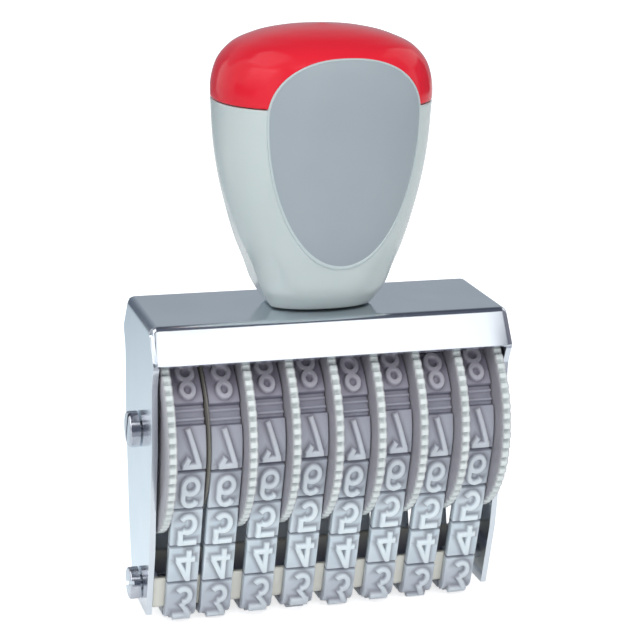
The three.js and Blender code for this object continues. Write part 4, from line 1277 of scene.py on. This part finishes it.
def make_camera():
    """The camera at the photograph's place: turned, raised and rolled about its target."""
    azimuth, elevation, roll = (math.radians(v) for v in (VIEW_AZIMUTH, VIEW_ELEVATION, VIEW_ROLL))
    level = math.cos(elevation)
    back = Vector((math.sin(azimuth) * level, -math.cos(azimuth) * level, math.sin(elevation)))
    right = (-back).cross(Vector((0, 0, 1))).normalized()
    up = right.cross(-back)
    rolled_right = math.cos(roll) * right + math.sin(roll) * up
    rolled_up = math.cos(roll) * up - math.sin(roll) * right
    data = bpy.data.cameras.new("camera")
    data.lens = VIEW_LENS
    data.sensor_width = 36.0
    data.shift_y = VIEW_SHIFT_UP
    data.clip_start = 0.01
    data.clip_end = 20.0
    camera = bpy.data.objects.new("camera", data)
    bpy.context.scene.collection.objects.link(camera)
    turn = Matrix((rolled_right, rolled_up, back)).transposed()
    place = (Vector(VIEW_TARGET) + back * VIEW_DISTANCE) * MM
    camera.matrix_world = Matrix.Translation(place) @ turn.to_4x4()
    bpy.context.scene.camera = camera


# Colours that several cards share
WHITE = (1.6, 1.6, 1.6)
DARK = (0.12, 0.13, 0.17)
DEEP = (0.07, 0.075, 0.1)
GREY = (0.42, 0.46, 0.5)
DUSK = (0.22, 0.21, 0.25)

make_floor()
make_card("back_grey", (450, 900, 260), (600, 0, 0), (0, 0, 240), (0.36, 0.4, 0.45), GREY)
make_card("back_left_dark", (-180, 860, 235), (0, 0, 235), (240, 0, 0), (0.07, 0.09, 0.13), (0.36, 0.4, 0.45))
make_card("back_dark", (0, 780, 860), (900, 0, 0), (0, -120, 380), GREY, DEEP)
make_card("overhead_dark", (0, 200, 1260), (900, 0, 0), (0, -480, 0), DEEP, DARK)
make_card("overhead_left", (-590, 20, 1060), (0, 400, 0), (320, 0, 40), (2.4, 2.4, 2.5), (1.5, 1.5, 1.55))
make_card("lip_white", (5, -592, 775), (325, 68, 0), (-20, 72, 60), WHITE, WHITE)
make_card("lip_fade", (450, -503, 775), (20, -72, -60), (120, 25, 0), WHITE, (0.5, 0.5, 0.54))
make_card("upper_dark", (200, -575, 1115), (900, 0, 0), (0, 325, 185), DARK, DARK)
make_card("front_dark", (200, -950, 520), (900, 0, 0), (0, 0, 520), DARK, DARK)
make_card("left_dark", (-1150, -100, 160), (0, -420, 0), (0, 0, 130), DARK, DARK)
make_card("left_white", (-830, -330, 480), (-118, 298, 0), (110, 45, 270), (0.4, 0.4, 0.42), (3.6, 3.6, 3.8))
make_card("right_dark", (850, 300, 200), (-100, 280, 0), (0, 0, 250), (0.06, 0.06, 0.08), DARK)
make_card("right_grey", (900, -330, 700), (130, 260, 0), (-160, 80, 240), DUSK, (0.3, 0.29, 0.33))
make_card("floor_blue", (-120, 150, 0.5), (80, 0, 0), (0, 140, 0), (0.93, 1.04, 1.1), (0.52, 0.6, 0.66))
make_card("floor_far", (-240, 570, 0.5), (180, 0, 0), (0, 280, 0), (0.52, 0.6, 0.66), (0.08, 0.1, 0.13))
make_card("floor_front", (100, -500, 0.5), (300, 0, 0), (0, -430, 0), (0.56, 0.57, 0.62), (0.34, 0.35, 0.39))
make_lamp("front_box", (-120, -520, 800), (0, 0, 60), 900, 380, 2.5, (1.0, 0.995, 0.98))
make_lamp("left_fill", (-660, -640, 400), (0, 0, 80), 600, 600, 1.15, (0.93, 0.97, 1.0))
make_lamp("front_low", (-20, -900, 120), (0, 0, 40), 900, 300, 1.7)
make_world()
make_camera()
bpy.context.scene.view_settings.view_transform = "Standard"
